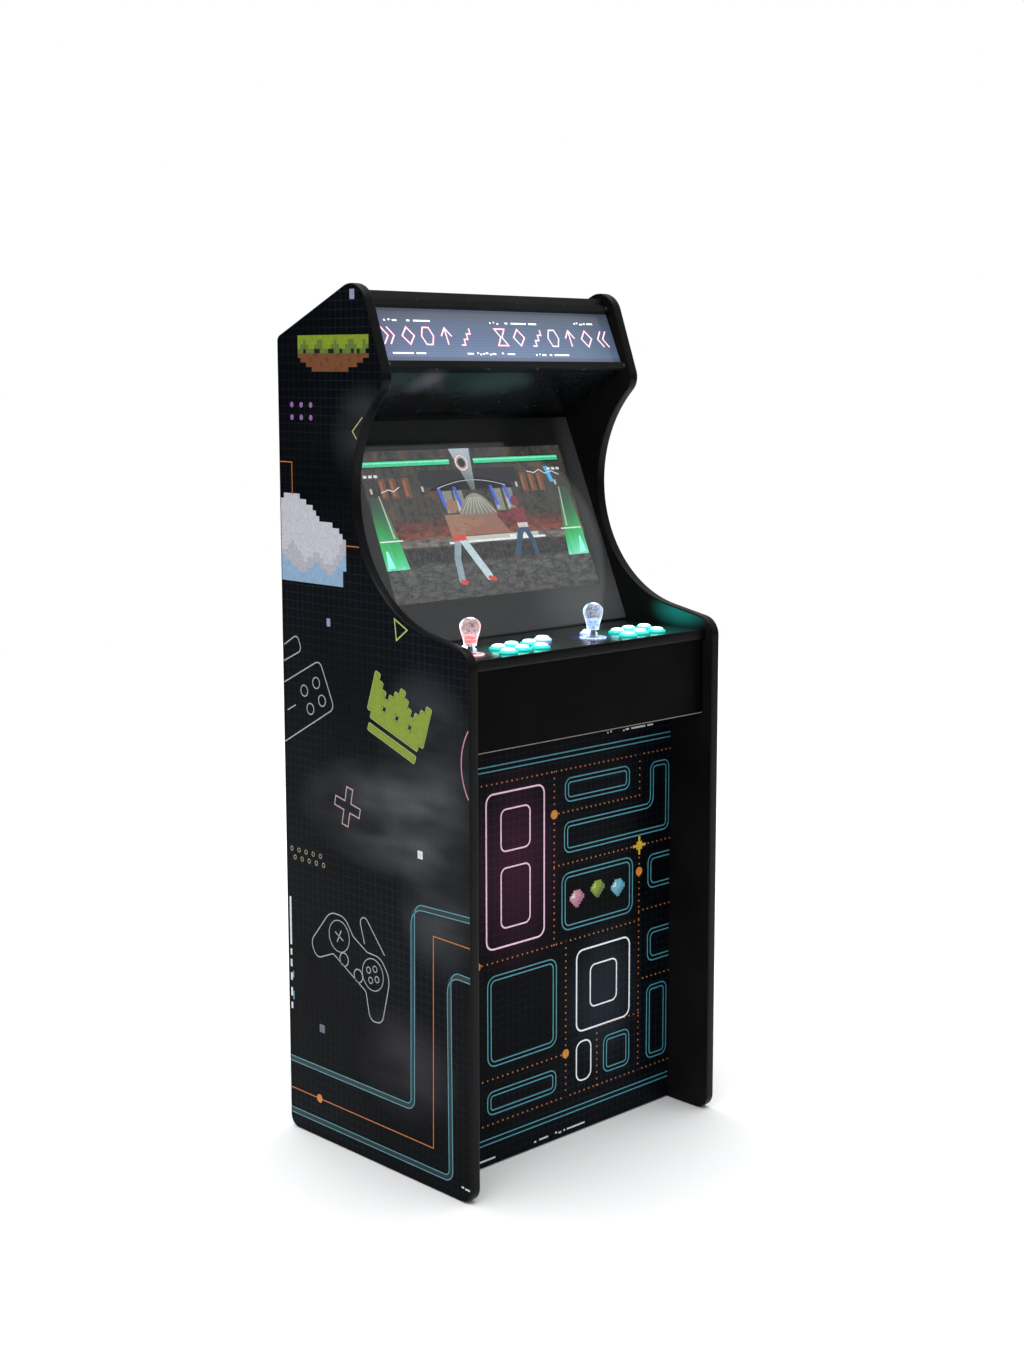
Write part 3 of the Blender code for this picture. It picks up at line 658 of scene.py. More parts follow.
def edge_molding(name, middle, rubber):
    """Round-shouldered T-molding swept along the whole edge of a side board."""
    half = MOLDING_WIDE / 2
    crown = ((2.7, 1.0), (1.5, 1.0), (0.7, 0.93), (0.2, 0.8), (0.0, 0.5), (0.0, 0.0))
    section = [(inset * MM, -share * half) for inset, share in crown]
    section += [(inset * MM, share * half) for inset, share in reversed(crown[:-1])]
    shape = bmesh.new()
    rings = []
    for inset, across in section:
        rings.append([shape.verts.new((middle + across, y, z)) for y, z in board_outline(inset)])
    for ring, following in zip(rings, rings[1:] + rings[:1]):
        for i in range(len(ring)):
            j = (i + 1) % len(ring)
            shape.faces.new((ring[i], ring[j], following[j], following[i]))
    keep_trim(name + "_edge_trim", shape, rubber, name + "_edge_molding")


def keep_trim(name, shape, rubber, covers):
    keep(name, shape, rubber, replaces=[covers], smooth=50)


def deck_molding(rubber):
    """The same molding along the front of the deck, straight."""
    low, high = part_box("control_panel_molding")
    middle = (low.z + high.z) / 2
    half = (high.z - low.z) / 2
    crown = ((2.5, 1.0), (1.5, 1.0), (0.6, 0.9), (0.15, 0.72), (0.0, 0.4))
    section = [(low.y + inset * MM, middle + share * half) for inset, share in crown]
    section += [(low.y + inset * MM, middle - share * half) for inset, share in reversed(crown)]
    shape = skin([[(x, y, z) for y, z in section] for x in (low.x, high.x)])
    keep_trim("deck_edge_trim", shape, rubber, "control_panel_molding")


def seals():
    """Foam strips that close the gaps above the marquee's top rail and under the screen sheet."""
    foam = laminate("seal_foam", (0.004, 0.004, 0.004), (0.8, 0.95), 900)
    reach = abs(INNER) - 0.4 * MM
    turns = [math.radians(10 + 280 * step / 12) for step in range(13)]
    cord = [(31.6 + 3.1 * math.cos(turn), 1517.8 + 3.1 * math.sin(turn)) for turn in turns]
    wedge = (
        (-38.8, 917), (-38.8, 925.6), (-34.5, 926.0), (-32.8, 929.4),
        (-27.4, 927.2), (-26.6, 926.2), (-26.6, 919), (-29, 917),
    )
    for name, section in (("marquee_top_seal", cord), ("screen_foot_seal", wedge)):
        shape = skin([[(x, y * MM, z * MM) for y, z in section] for x in (-reach, reach)])
        keep(name, shape, foam, smooth=50)


def boards():
    """Both sides with their moldings, and the paint of every flat board."""
    black = laminate("black_laminate")
    rubber = molding_rubber()
    # Painted sheen on the side vinyl: soft grey patches that stand in for reflections in its gloss
    painted_sheens = (
        ((0, -0.04, 0.635), (0, 0.26, 0.11), (0.095, 0.096, 0.098)),
        ((0, -0.14, 0.75), (0, 0.14, 0.17), (0.050, 0.053, 0.058)),
        ((0, -0.17, 0.50), (0, 0.11, 0.14), (0.050, 0.053, 0.058)),
        ((0, 0.02, 1.29), (0, 0.09, 0.10), (0.045, 0.045, 0.044)),
        ((0, -0.08, 0.20), (0, 0.15, 0.11), (0.034, 0.030, 0.036)),
    )
    sides = vinyl("side_vinyl", painted_sheens=painted_sheens)
    # Painted light on the right board's inner face: a lighter copy of the black laminate as painted sheen, and
    # a painted teal glow from the buttons on its shoulder
    teal_painted_glow = ((0, -0.172, 0.956), (0, 0.085, 0.040), (0.006, 0.170, 0.145))
    painted_light_inside = laminate("right_inside", (0.0055, 0.005, 0.0048), painted_glows=(teal_painted_glow,))
    middle = (abs(INNER) + abs(OUTER)) / 2
    side_board("left", -abs(INNER), -abs(OUTER), sides, black)
    side_board("right", abs(INNER), abs(OUTER), sides, painted_light_inside)
    edge_molding("left", -middle, rubber)
    edge_molding("right", middle, rubber)
    deck_molding(rubber)
    seals()
    paint(black, "control_box_floor", "control_box_front")
    rear_boards = ("roof_panel", "back_panel", "rear_door")
    paint(laminate("rear_laminate", (0.005, 0.005, 0.0055), level=0.2), *rear_boards)
    paint(deck_laminate(), "control_panel")
    rails = ("marquee_top_rail", "marquee_bottom_rail")
    paint(laminate("black_metal", (0.004, 0.004, 0.0045), (0.25, 0.4), level=0.12), *rails)
    paint(wood_board(), "floor_board")
    # Painted glow on the kick vinyl round the pink and the white printed neon
    pink = ((-0.112, KICK_FACE, 0.53), (0.13, 0.006, 0.22), (0.030, 0.006, 0.020))
    pale = ((0.11, KICK_FACE, 0.25), (0.12, 0.006, 0.16), (0.010, 0.016, 0.022))
    paint(vinyl("kick_vinyl", (pink, pale)), "kick_panel")
    for node in rear_boards + rails:
        soften(node)
    low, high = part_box("control_box_front")
    strip = bmesh.new()
    add_box(strip, (low.x + MM, low.y - 0.4 * MM, low.z), (high.x - MM, low.y, low.z + 1.3 * MM))
    keep("box_front_bare_edge", strip, ink("bare_edge", (0.30, 0.26, 0.24)))


def deck_laminate():
    """Glossier black, with the light that the buttons and sticks spill on it."""
    spills = (
        ((0.150, -0.175, 0), (0.125, 0.075, 0), (0.004, 0.120, 0.100)),
        ((-0.140, -0.175, 0), (0.115, 0.075, 0), (0.004, 0.120, 0.100)),
        ((0.060, -0.170, 0), (0.048, 0.048, 0), (0.020, 0.040, 0.260)),
        ((-0.234, -0.170, 0), (0.048, 0.048, 0), (0.160, 0.020, 0.030)),
    )
    return laminate("deck_laminate", (0.003, 0.003, 0.004), (0.12, 0.26), level=0.6, painted_glows=spills)


# ---------------------------------------------------------------- printed art

def inks():
    """Every printed colour of the side and kick panel art."""
    colours = {
        "cyan": (0.085, 0.36, 0.44),
        "orange": (0.62, 0.19, 0.045),
        "amber": (0.75, 0.27, 0.03),
        "lime": (0.25, 0.35, 0.022),
        "lime_light": (0.50, 0.60, 0.20),
        "lime_dark": (0.13, 0.21, 0.04),
        "earth": (0.20, 0.075, 0.028),
        "earth_dark": (0.16, 0.05, 0.02),
        "cloud_white": (0.62, 0.62, 0.68),
        "cloud_grey": (0.50, 0.50, 0.56),
        "cloud_blue": (0.30, 0.46, 0.66),
        "lavender": (0.36, 0.32, 0.52),
        "violet": (0.32, 0.16, 0.42),
        "sun": (0.75, 0.48, 0.03),
        "pale_line": (0.42, 0.45, 0.47),
        "rose": (0.62, 0.28, 0.36),
        "rose_line": (0.45, 0.16, 0.27),
        "rose_pale": (0.50, 0.36, 0.39),
        "sky": (0.16, 0.48, 0.62),
        "white": (0.80, 0.82, 0.84),
        "slate": (0.12, 0.15, 0.19),
        "track": (0.002, 0.011, 0.014),
        "shadow": (0.008, 0.006, 0.006),
        "butter": (0.55, 0.52, 0.22),
        "tan": (0.40, 0.33, 0.22),
    }
    made = {name: ink(name, colour) for name, colour in colours.items()}
    # Painted glow: the kick panel's printed neon inks glow a little, though nothing lights them
    made["neon_pink"] = ink("neon_pink", (0.85, 0.56, 0.70), 0.25)
    made["neon_white"] = ink("neon_white", (0.80, 0.84, 0.88), 0.25)
    return made


CROWN = (
    "L.....L.....L",
    "LL...LLL...LL",
    "LLL.LLLLL.LLL",
    "LLLLLLLLLLLLL",
    "LLL.LL.LL.LLL",
    "LLLLLLLLLLLLL",
    ".LLLLLLLLLLL.",
    ".............",
    ".LLLLLLLLLLL.",
)
ISLAND = (
    "GGGGGGGGGGGGGGGGGGGGGGGGG",
    "GGgGGGGggGGGGgGGGGggGGGgG",
    "GgggGGgggGGGgggGGggggGGgg",
    "ggKgggKKgggKKggKgggKgKgg.",
    "EEEEEEeEEEEEEEeEEEEEEeEEE",
    ".EEEeEEEEEeEEEEEEEeEEEE..",
    "...EEEEEeEEEEEEeEEEEE....",
    ".....EEEEEEEEeEEEE.......",
)
CLOUD = (
    ".WWWWW..............",
    "WWWWWWWW............",
    "WWWWWWWWWW..........",
    "WWWWWWWWWWW.........",
    "WWWWWWWWWWWW........",
    "WWWWWWWWWWWWWWWW....",
    "WWWWWWWWWWWWWWWWWW..",
    "WWWWWWWWWWWWWWWWWWW.",
    "WWWWWWWWWWWWWWWWWWWG",
    "WWWGWWWWWWWWWWWWWWGG",
    "WWGGGWWWWWWWWWWWWWGG",
    "GGGGGGWWWWGGWWWWWGGB",
    "BGGGGGGWGGGGGWWWGGBB",
    "BBBGGGGGGGBBGGGGGBBB",
    "BBBBBGGGBBBBBBGGBBB.",
    "BBBBBBBBBBBBBBBBBBB.",
    "BBBBBBBBBBBBBBBBBBB.",
)
GEM = (
    "..CCCC..",
    ".CcCCCD.",
    "CccCCCDD",
    "CCCCCDDD",
    ".CCCDDD.",
    "..CDDD..",
    "...DD...",
)
SPARK = (
    "...S...",
    "...S...",
    "..SSS..",
    "SSSSSSS",
    "..SSS..",
    "...S...",
    "...S...",
)


def glitch(art, colour, start, runs, tall=3.2):
    """A broken dash: runs of (gap before it, length), in millimetres, stepping up and down a little."""
    across, up = start
    for index, (gap, length) in enumerate(runs):
        across += gap
        step = (0, 1.2, -1.2)[index % 3] if length < 10 else 0
        art.block(colour, (across, up + step), (across + length, up + step + tall))
        across += length


def side_art(name, x, out, c):
    """The printed side: a point is (depth, height), so the far side shows the mirror image."""
    art = Print(name, (x, 0, 0), (0, 1, 0), (0, 0, 1), out=(out, 0, 0))
    art.block(c["lavender"], (33, 1517), (46, 1534))
    turf = {"G": c["lime"], "g": c["lime_dark"], "K": c["shadow"], "E": c["earth"], "e": c["earth_dark"]}
    art.pixels(turf, [row[::-1] for row in ISLAND], (-3, 1458), 7.8)
    for column in range(3):
        for row in range(2):
            art.disc(c["violet"], (158 + 27 * column, 1338 - 22 * row), 5, 12)
    art.line(c["butter"], ((16, 1319), (43, 1295), (32, 1282)), 2.2)
    art.line(c["orange"], ((249, 1237), (215, 1237), (215, 1178)), 1.8)
    art.line(c["orange"], ((66, 1098), (29, 1098)), 1.8)
    cloud = {"W": c["cloud_white"], "G": c["cloud_grey"], "B": c["cloud_blue"]}
    art.pixels(cloud, [row[::-1] for row in CLOUD], (65, 1182), 9.2)
    art.block(c["lavender"], (112, 953), (122, 967))
    art.line(c["lime_light"], ((-63, 983), (-96, 967), (-68, 947)), 2.4, True)
    pad_outline(art, c["pale_line"])
    crown(art, c)
    cross(art, c["rose_pale"], (71, 637), 35, 8.5)
    for start, height in ((235, 533), (226, 518)):
        for index in range(5):
            art.circle(c["tan"], (start - 21 * index, height), 3.8, 1.5, 14)
    art.block(c["white"], (-131, 579), (-118, 593))
    turns = [math.radians(degrees) for degrees in range(-38, 39, 4)]
    bend = [(-333 + 103 * math.cos(turn), 758 + 103 * math.sin(turn)) for turn in turns]
    art.line(c["rose"], [p for p in bend if p[0] > -249], 2.4)
    gamepad(art, c["pale_line"])
    for low, high in ((441, 350), (342, 330), (322, 308), (296, 282), (268, 252), (240, 228)):
        art.block(c["white"], (240, high), (245, low))
    for low, high in ((300, 288), (262, 246)):
        art.block(c["sky"], (236, high), (239, low))
    art.block(c["slate"], (146, 203), (161, 218))
    circuit(art, c)
    glitch(art, c["white"], (-246, 24), ((0, 12), (3, 6)), 3)
    art.finish()


def pad_outline(art, colour):
    """A tilted rounded plate with four round buttons and a looped lead, cut off by the board's edge."""
    plate = ((249, 839, 0), (144, 890, 13), (104, 808, 13), (249, 730, 0))
    art.line(colour, rounded(plate, 18, closed=False), NEON)
    for centre in ((155, 848), (190, 830), (139, 818), (173, 799)):
        art.circle(colour, centre, 10, 2.0, 20)
    lead = ((247, 908, 0), (208, 930, 10), (196, 902, 10), (249, 878, 0))
    art.line(colour, rounded(lead, 15, closed=False), NEON)
    art.line(colour, ((240, 789), (216, 801)), NEON)


def crown(art, c):
    """A green pixel crown, tilted, with a lighter rim that shows all round it."""
    rows = [row[::-1] for row in CROWN]
    tilt = 19
    cell = 11.7
    corner = Vector((-156, 838))
    for shift in ((-2, 0), (2, 0), (0, -2), (0, 2)):
        art.pixels({"L": c["lime_light"]}, rows, corner + Vector(shift), cell, tilt)
    art.pixels({"L": c["lime"]}, rows, corner, cell, tilt, level=1)


def cross(art, colour, middle, reach, arm):
    """The outline of a plus sign, tilted."""
    turn = Matrix.Rotation(math.radians(12), 2)
    quarter = ((reach, -arm), (reach, arm), (arm, arm))
    points = []
    for step in range(4):
        spin = Matrix.Rotation(math.pi / 2 * step, 2)
        points += [Vector(middle) + turn @ spin @ Vector(p) for p in quarter]
    art.line(colour, points, 2.4, True)


def gamepad(art, colour):
    """A plain two-handed pad drawn with one thin line: body, two round sticks, keys and a lead."""
    turn = Matrix.Rotation(math.radians(28), 2)
    middle = Vector((54, 369))

    def at(points):
        return [middle + turn @ Vector(p) for p in points]

    half = ((22, 28, 8), (56, 44, 30), (94, 26, 34), (114, -60, 18), (86, -78, 16), (52, -38, 10))
    body = [(-u, v, r) for u, v, r in half] + list(reversed(half))
    art.line(colour, at(rounded(body, 15)), 2.0, True)
    for side in (-1, 1):
        for centre, radius, width, sides in (
            ((side * 53, 2), 29, 1.6, 30),
            ((side * 22.6, -27), 12, 2.0, 22),
            ((-53, 2 + side * 13), 5.5, 1.8, 16),
            ((-53 + side * 13, 2), 5.5, 1.8, 16),
        ):
            art.circle(colour, at([centre])[0], radius, width, sides)
    art.line(colour, at(((40, 2), (66, 2))), NEON)
    art.line(colour, at(((53, -11), (53, 15))), NEON)
    lead = ((28, 397, 0), (54, 480, 11), (-27, 388, 0))
    art.line(colour, rounded(lead, 15, closed=False), 2.0)


def circuit(art, c):
    """Neon tracks that turn at right angles round the lower front of the side."""
    tracks = (
        ("cyan", (249, 127), (-104, 127), (-109, 498), (-249, 502), 20, 1.7, 9.5),
        ("orange", (249, 75), (-153, 74), (-157, 451), (-249, 449), 0, 1.8, 0),
        ("cyan", (249, 27), (-203, 27), (-201, 400), (-249, 398), 20, 1.7, 9.5),
    )
    for colour, first, second, third, last, radius, width, gap in tracks:
        for shift in sorted({0, gap}):
            corners = (
                (first[0], first[1] + shift, 0),
                (second[0] + shift, second[1] + shift, max(radius - shift, 0)),
                (third[0] + shift, third[1] - shift, max(radius + shift, 0) if radius else 0),
                (last[0], last[1] - shift, 0),
            )
            art.line(c[colour], rounded(corners, 15, closed=False), width, level=1)
        if gap:
            half = gap / 2
            corners = (
                (first[0], first[1] + half, 0),
                (second[0] + half, second[1] + half, radius - half),
                (third[0] + half, third[1] - half, radius + half),
                (last[0], last[1] - half, 0),
            )
            art.line(c["track"], rounded(corners, 15, closed=False), gap)
    art.disc(c["amber"], (164, 75), 8, 20, level=2)


def kick_art(c):
    """The front's print: rounded neon blocks, dotted paths with junctions, three gems and a spark."""
    art = Print("kick", (0, KICK_FACE, 0), (1, 0, 0), (0, 0, 1), out=(0, -1, 0))
    edge = abs(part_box("kick_panel")[0].x) / MM - 1
    for height in (722, 713, 51, 42):
        art.line(c["cyan"], ((-edge, height), (edge, height)), NEON)
    paths = (
        ((-edge, 690), (edge, 690)), ((-18, 516), (edge, 516)), ((-edge, 371), (206, 371)),
        ((-edge, 159), (12, 159)), ((-edge, 77), (edge, 77)), ((-18, 690), (-18, 371)),
        ((206, 516), (206, 77)), ((206, 690), (206, 612)), ((-18, 612), (206, 612)),
        ((206, 389), (edge, 389)), ((206, 255), (edge, 255)), ((12, 371), (12, 77)),
        ((94, 190), (206, 190)), ((94, 190), (94, 77)), ((-206, 371), (-206, 690)),
    )
    for start, end in paths:
        art.dotted(c["orange"], start, end)
    for centre in ((-18, 612), (206, 466), (-206, 371), (12, 159)):
        art.disc(c["amber"], centre, 8.5, 20, level=1)
    art.double(c["cyan"], (10, 630), (178, 673))
    corners = ((8, 536, 14), (287, 536, 14), (287, 670, 14), (236, 670, 14), (236, 592, 12), (8, 592, 14))
    art.line(c["cyan"], rounded(corners, ARC_STEP), NEON, True)
    art.line(c["cyan"], rounded(corners, ARC_STEP, inset=NEON_GAP), NEON, True)
    art.double(c["cyan"], (2, 392), (188, 498), 18)
    art.double(c["cyan"], (-181, 182), (-12, 346), 18)
    art.double(c["cyan"], (-182, 94), (-13, 136))
    art.double(c["cyan"], (112, 96), (181, 166))
    art.double(c["cyan"], (230, 92), (285, 236))
    bays = ((1, 231, 428, 492), (1, 231, 285, 347), (-1, 228, 182, 346), (-1, 228, 392, 670))
    for side, near, low, high in bays:
        for gap in (0, NEON_GAP):
            open_bay(art, c["cyan"], side * edge, side * (near + gap), low + gap, high - gap, 14 - gap / 2)
    neon(art, c["neon_pink"], ((-183, 395), (-43, 672)), ((-148, 566), (-78, 641)), ((-148, 428), (-78, 536)))
    neon(art, c["neon_white"], ((40, 192), (181, 346)), ((76, 232), (146, 312)))
    art.frame(c["neon_white"], (40, 97), (78, 172), 15, 2.8)
    gems = (("rose", "white", "rose_line"), ("lime", "lime_light", "lime_dark"), ("sky", "white", "cyan"))
    for index, (main, bright, dim) in enumerate(gems):
        corner = (22 + 54 * index, 462 + (8 if index == 1 else 0))
        art.pixels({"C": c[main], "c": c[bright], "D": c[dim]}, GEM, corner, 4.6)
    art.pixels({"S": c["sun"]}, SPARK, (206 - 17.5, 516 + 17.5), 5, level=1)
    glitch(art, c["white"], (118, 741), ((0, 3), (5, 4), (30, 4), (3, 9), (6, 38), (6, 16)))
    low_runs = ((0, 20), (8, 58), (96, 5), (8, 22), (18, 5), (4, 7), (6, 4), (5, 46))
    glitch(art, c["white"], (-250, 12), low_runs)
    art.finish()


def open_bay(art, colour, edge, across, low, high, radius):
    """Half a rounded block, cut off by the board's edge."""
    corners = ((edge, high, 0), (across, high, radius), (across, low, radius), (edge, low, 0))
    art.line(colour, rounded(corners, ARC_STEP, closed=False), NEON)


def neon(art, colour, outer, *held):
    """A bright rounded frame that holds smaller ones."""
    art.frame(colour, *outer, 16, 3.2)
    for low, high in held:
        art.frame(colour, low, high, 12, 2.8)


# ---------------------------------------------------------------- sloping planes

class Slope:
    """A plane that leans back: across is +X, up runs up the slope, out stands on it. Millimetres."""

    def __init__(self, origin, tilt):
        turn = Matrix.Rotation(math.radians(tilt), 3, "X")
        self.origin = Vector(origin) * MM
        self.across = Vector((1, 0, 0))
        self.up = turn @ Vector((0, 1, 0))
        self.out = turn @ Vector((0, 0, 1))

    def at(self, across, up, out=0.0):
        return self.origin + (self.across * across + self.up * up + self.out * out) * MM

    def height(self, made, base):
        """A material's coordinate up the slope, in metres, from base millimetres up."""
        _, y, z = made.axes()
        along = made.math("ADD", made.math("MULTIPLY", y, self.up.y), made.math("MULTIPLY", z, self.up.z))
        return made.math("SUBTRACT", along, self.at(0, base).dot(self.up))


SCREEN = Slope((0, 117.1, 1283.4), 66.4)
MARQUEE = Slope((0, -19, 1405), 65.8)

# The display's picture: its height, its foot up the screen's slope, and how far behind the sheet it lies
PICTURE_TALL = 286
PICTURE_LOW = -169 - PICTURE_TALL / 2
PICTURE_DEEP = -10.6


# ---------------------------------------------------------------- marquee

MARKS = {
    "chevrons": (((0, 0), (0.45, 0.5), (0, 1)), ((0.5, 0), (0.95, 0.5), (0.5, 1))),
    "back_chevrons": (((0.95, 0), (0.5, 0.5), (0.95, 1)), ((0.45, 0), (0, 0.5), (0.45, 1))),
    "arrow": (((0.5, 0), (0.5, 1)), ((0.05, 0.5), (0.5, 1), (0.95, 0.5))),
    "steps": (((0, 0), (0.34, 0), (0.34, 0.34), (0.67, 0.34), (0.67, 0.67), (1, 0.67), (1, 1)),),
}
RINGS = {
    "diamond": ((0.5, 0), (1, 0.5), (0.5, 1), (0, 0.5)),
    "hexagon": ((0.25, 0), (0.75, 0), (1, 0.5), (0.75, 1), (0.25, 1), (0, 0.5)),
    "hourglass": ((0.05, 0), (0.95, 0), (0.55, 0.5), (0.95, 1), (0.05, 1), (0.45, 0.5)),
}
ROW = (
    "chevrons", "diamond", "hexagon", "arrow", "steps", "",
    "hourglass", "diamond", "steps", "hexagon", "arrow", "diamond", "back_chevrons",
)


def marquee_light():
    """Backlit print: grey-blue, bluer and brighter along its middle, with a fine grid and dark end bands."""
    made = Nodes("marquee_print", Roughness=0.12, Specular_IOR_Level=0.5, Base_Color=(0.05, 0.06, 0.08))
    x, _, _ = made.axes()
    up = MARQUEE.height(made, 0)
    rows = made.ramp(
        made.span(up, 0.006, 0.108),
        (0.0, (0.13, 0.15, 0.21)), (0.10, (0.15, 0.18, 0.26)), (0.13, (0.19, 0.27, 0.46)),
        (0.45, (0.13, 0.19, 0.34)), (0.80, (0.11, 0.14, 0.23)), (0.83, (0.115, 0.13, 0.175)),
        (1.0, (0.10, 0.11, 0.145)),
    )
    middle = made.ramp(
        made.span(x, -0.29, 0.29),
        (0.0, (0.85, 0.72, 0.78)), (0.22, (1.1, 1.1, 1.1)), (0.55, (1.15, 1.15, 1.12)),
        (0.82, (0.95, 1.05, 1.0)), (0.93, (0.62, 0.68, 0.66)), (1.0, (0.5, 0.5, 0.52)),
    )
    tone = made.mix(1.0, rows, middle, "MULTIPLY")
    mesh = made.math("MAXIMUM", made.lines(x, 5.5 * MM, 0.8 * MM), made.lines(up, 5.5 * MM, 0.8 * MM))
    tone = made.mix(made.math("MULTIPLY", mesh, 0.5), tone, (0.05, 0.09, 0.16))
    cloud = made.span(made.noise(9, 3), 0.35, 0.75, 0, 0.25)
    made.link(made.mix(cloud, tone, (0.10, 0.14, 0.20)), "Emission Color")
    made.set(Emission_Strength=0.8)
    return made.material


def light_bar():
    """The lamp behind the marquee's print: a frosted white bar."""
    bar = Nodes("light_bar", Base_Color=(0.8, 0.8, 0.8))
    bar.set(Emission_Color=(0.8, 0.88, 1.0), Emission_Strength=4.0)
    bar.link(bar.span(bar.noise(40, 3), 0.3, 0.7, 0.4, 0.5), "Roughness")
    return bar.material


def neon_row(art):
    """A row of marks drawn as neon tube: a thin bright line on a wider dim one."""
    tube = ink("marquee_neon", (1.0, 0.70, 0.76), 1.0, 0.08)
    halo = ink("marquee_halo", (0.45, 0.20, 0.30), 0.8, 0.1)
    first = -282
    pitch = 43.5
    wide = 27
    low = 41
    tall = 32
    for index, mark in enumerate(ROW):
        left = first + pitch * index + (pitch - wide) / 2
        closed = mark in RINGS
        strokes = [RINGS[mark]] if closed else MARKS.get(mark, ())
        for stroke in strokes:
            points = [(left + wide * u, low + tall * v) for u, v in stroke]
            art.line(halo, points, 3.8, closed)
            art.line(tube, points, 2.0, closed, level=1)


def marquee():
    """Window print with a row of neon marks between broken dashes, the rails' screws, the panel below."""
    paint(marquee_light(), "marquee_window")
    # Painted light: soft emission spots on the gloss panel under the marquee, standing in for its light on the
    # panel
    painted_glows = (
        ((-0.165, 0.02, 0), (0.045, 0.05, 0), (0.040, 0.042, 0.052)),
        ((0.0, 0.03, 0), (0.12, 0.06, 0), (0.010, 0.022, 0.022)),
        ((-0.24, 0.03, 0), (0.10, 0.07, 0), (0.012, 0.013, 0.017)),
    )
    paint(gloss_black("under_panel_gloss", 0.22, painted_glows), "under_marquee_panel")
    paint(light_bar(), "marquee_light_bar")
    art = Print("marquee", MARQUEE.origin, MARQUEE.across, MARQUEE.up)
    neon_row(art)
    white = ink("marquee_dash", (0.9, 0.93, 1.0), 0.95, 0.08)
    for start, runs in (
        ((-262, 84), ((0, 4), (6, 4), (5, 10), (22, 7), (8, 38))),
        ((-18, 83), ((0, 3), (6, 3), (5, 4), (16, 7), (8, 38), (6, 20))),
        ((196, 86), ((0, 4), (3, 4), (4, 7), (3, 5), (4, 16))),
        ((-262, 23), ((0, 46), (6, 22))),
        ((-92, 23), ((0, 14), (9, 4), (2, 4), (3, 5), (2, 6), (3, 5), (2, 9), (14, 5), (9, 18))),
        ((74, 22), ((0, 4), (5, 3), (4, 10), (9, 6), (6, 38))),
    ):
        glitch(art, white, start, runs, 3.0)
    art.finish()
    screws = bmesh.new()
    for across in (-180, -60, 60, 180):
        screw(screws, facing(MARQUEE.at(across, -7, 5.6), -MARQUEE.up), 3.2)
        screw(screws, facing(MARQUEE.at(across, 121.4, 5.6), MARQUEE.up), 3.2)
    for across in (-286, 286):
        screw(screws, facing(MARQUEE.at(across, 115, 11), MARQUEE.out), 2.4)
        screw(screws, facing(MARQUEE.at(across, -0.5, 11), MARQUEE.out), 2.4)
    keep("marquee_screws", screws, metal("dark_screw", (0.10, 0.10, 0.10), 0.3), smooth=40)


SCREW_HEAD = (
    (0, 0.25), (0.28, 0.25), (0.30, 0.55), (0.42, 0.60), (0.75, 0.48), (0.95, 0.25), (1.0, 0.0), (0, 0.0),
)


def screw(shape, place, radius):
    """A small pan-head screw with a round recess and a cross inside it."""
    lathe(shape, [(r * radius, h * radius * 0.9) for r, h in SCREW_HEAD], place, 14)
    reach = radius * 0.27 * MM
    thin = radius * 0.09 * MM
    top = radius * 0.45 * MM
    add_box(shape, (-reach, -thin, 0), (reach, thin, top), place)
    add_box(shape, (-thin, -reach, 0), (thin, reach, top), place)


# ---------------------------------------------------------------- screen

def stage_backdrop():
    """What the display shows behind its figures: stone floor, dark steps, a lit shop front and a dim sky."""
    made = Nodes("screen_picture", Roughness=0.25, Specular_IOR_Level=0.2, Base_Color=(0.01, 0.01, 0.012))
    x, _, _ = made.axes()
    up = SCREEN.height(made, PICTURE_LOW)
    share = made.span(up, 0, PICTURE_TALL * MM)
    ripple = made.math("ADD", share, made.span(made.noise(28, 3), 0.2, 0.8, -0.012, 0.012))
    bands = made.ramp(
        ripple,
        (0.00, (0.115, 0.113, 0.105)), (0.22, (0.15, 0.155, 0.15)), (0.255, (0.030, 0.028, 0.030)),
        (0.35, (0.035, 0.030, 0.032)), (0.365, (0.34, 0.30, 0.26)), (0.41, (0.26, 0.20, 0.17)),
        (0.425, (0.34, 0.07, 0.045)), (0.50, (0.20, 0.045, 0.035)), (0.535, (0.055, 0.045, 0.04)),
        (0.66, (0.050, 0.050, 0.042)), (0.72, (0.030, 0.031, 0.031)), (1.0, (0.030, 0.034, 0.038)),
    )
    flat = made.tree_node("ShaderNodeCombineXYZ", X=x, Y=made.math("MULTIPLY", up, 2.4), Z=0.0).outputs[0]
    joint = made.span(made.cells(34, flat, 0.9, "DISTANCE_TO_EDGE"), 0.0, 0.06, 1.0, 0.0)
    floor = made.math("LESS_THAN", share, 0.25)
    stones = made.math("MULTIPLY", made.math("MULTIPLY", joint, floor), 0.8)
    tone = made.mix(stones, bands, (0.022, 0.022, 0.020))
    blotch = made.span(made.noise(42, 5, 0.7, flat), 0.36, 0.62, 0.85, 0.0)
    tone = made.mix(blotch, tone, (0.010, 0.011, 0.010))
    grit = made.math("MULTIPLY", made.span(made.noise(150, 5, 0.7), 0.45, 0.75), 0.5)
    tone = made.mix(grit, tone, (0.20, 0.19, 0.16))
    posts = made.span(made.noise(1.0, 2, 0.5, made.stretched(60, 0, 3)), 0.45, 0.6, 0, 0.6)
    wall = made.math("MULTIPLY", posts, made.math("GREATER_THAN", share, 0.53))
    tone = made.mix(wall, tone, (0.085, 0.075, 0.062))
    warm = made.span(made.noise(24, 4, 0.6), 0.54, 0.68, 0, 0.55)
    warm = made.math("MULTIPLY", warm, made.math("GREATER_THAN", share, 0.36))
    made.link(made.mix(warm, tone, (0.20, 0.105, 0.055)), "Emission Color")
    made.set(Emission_Strength=1.0)
    return made.material


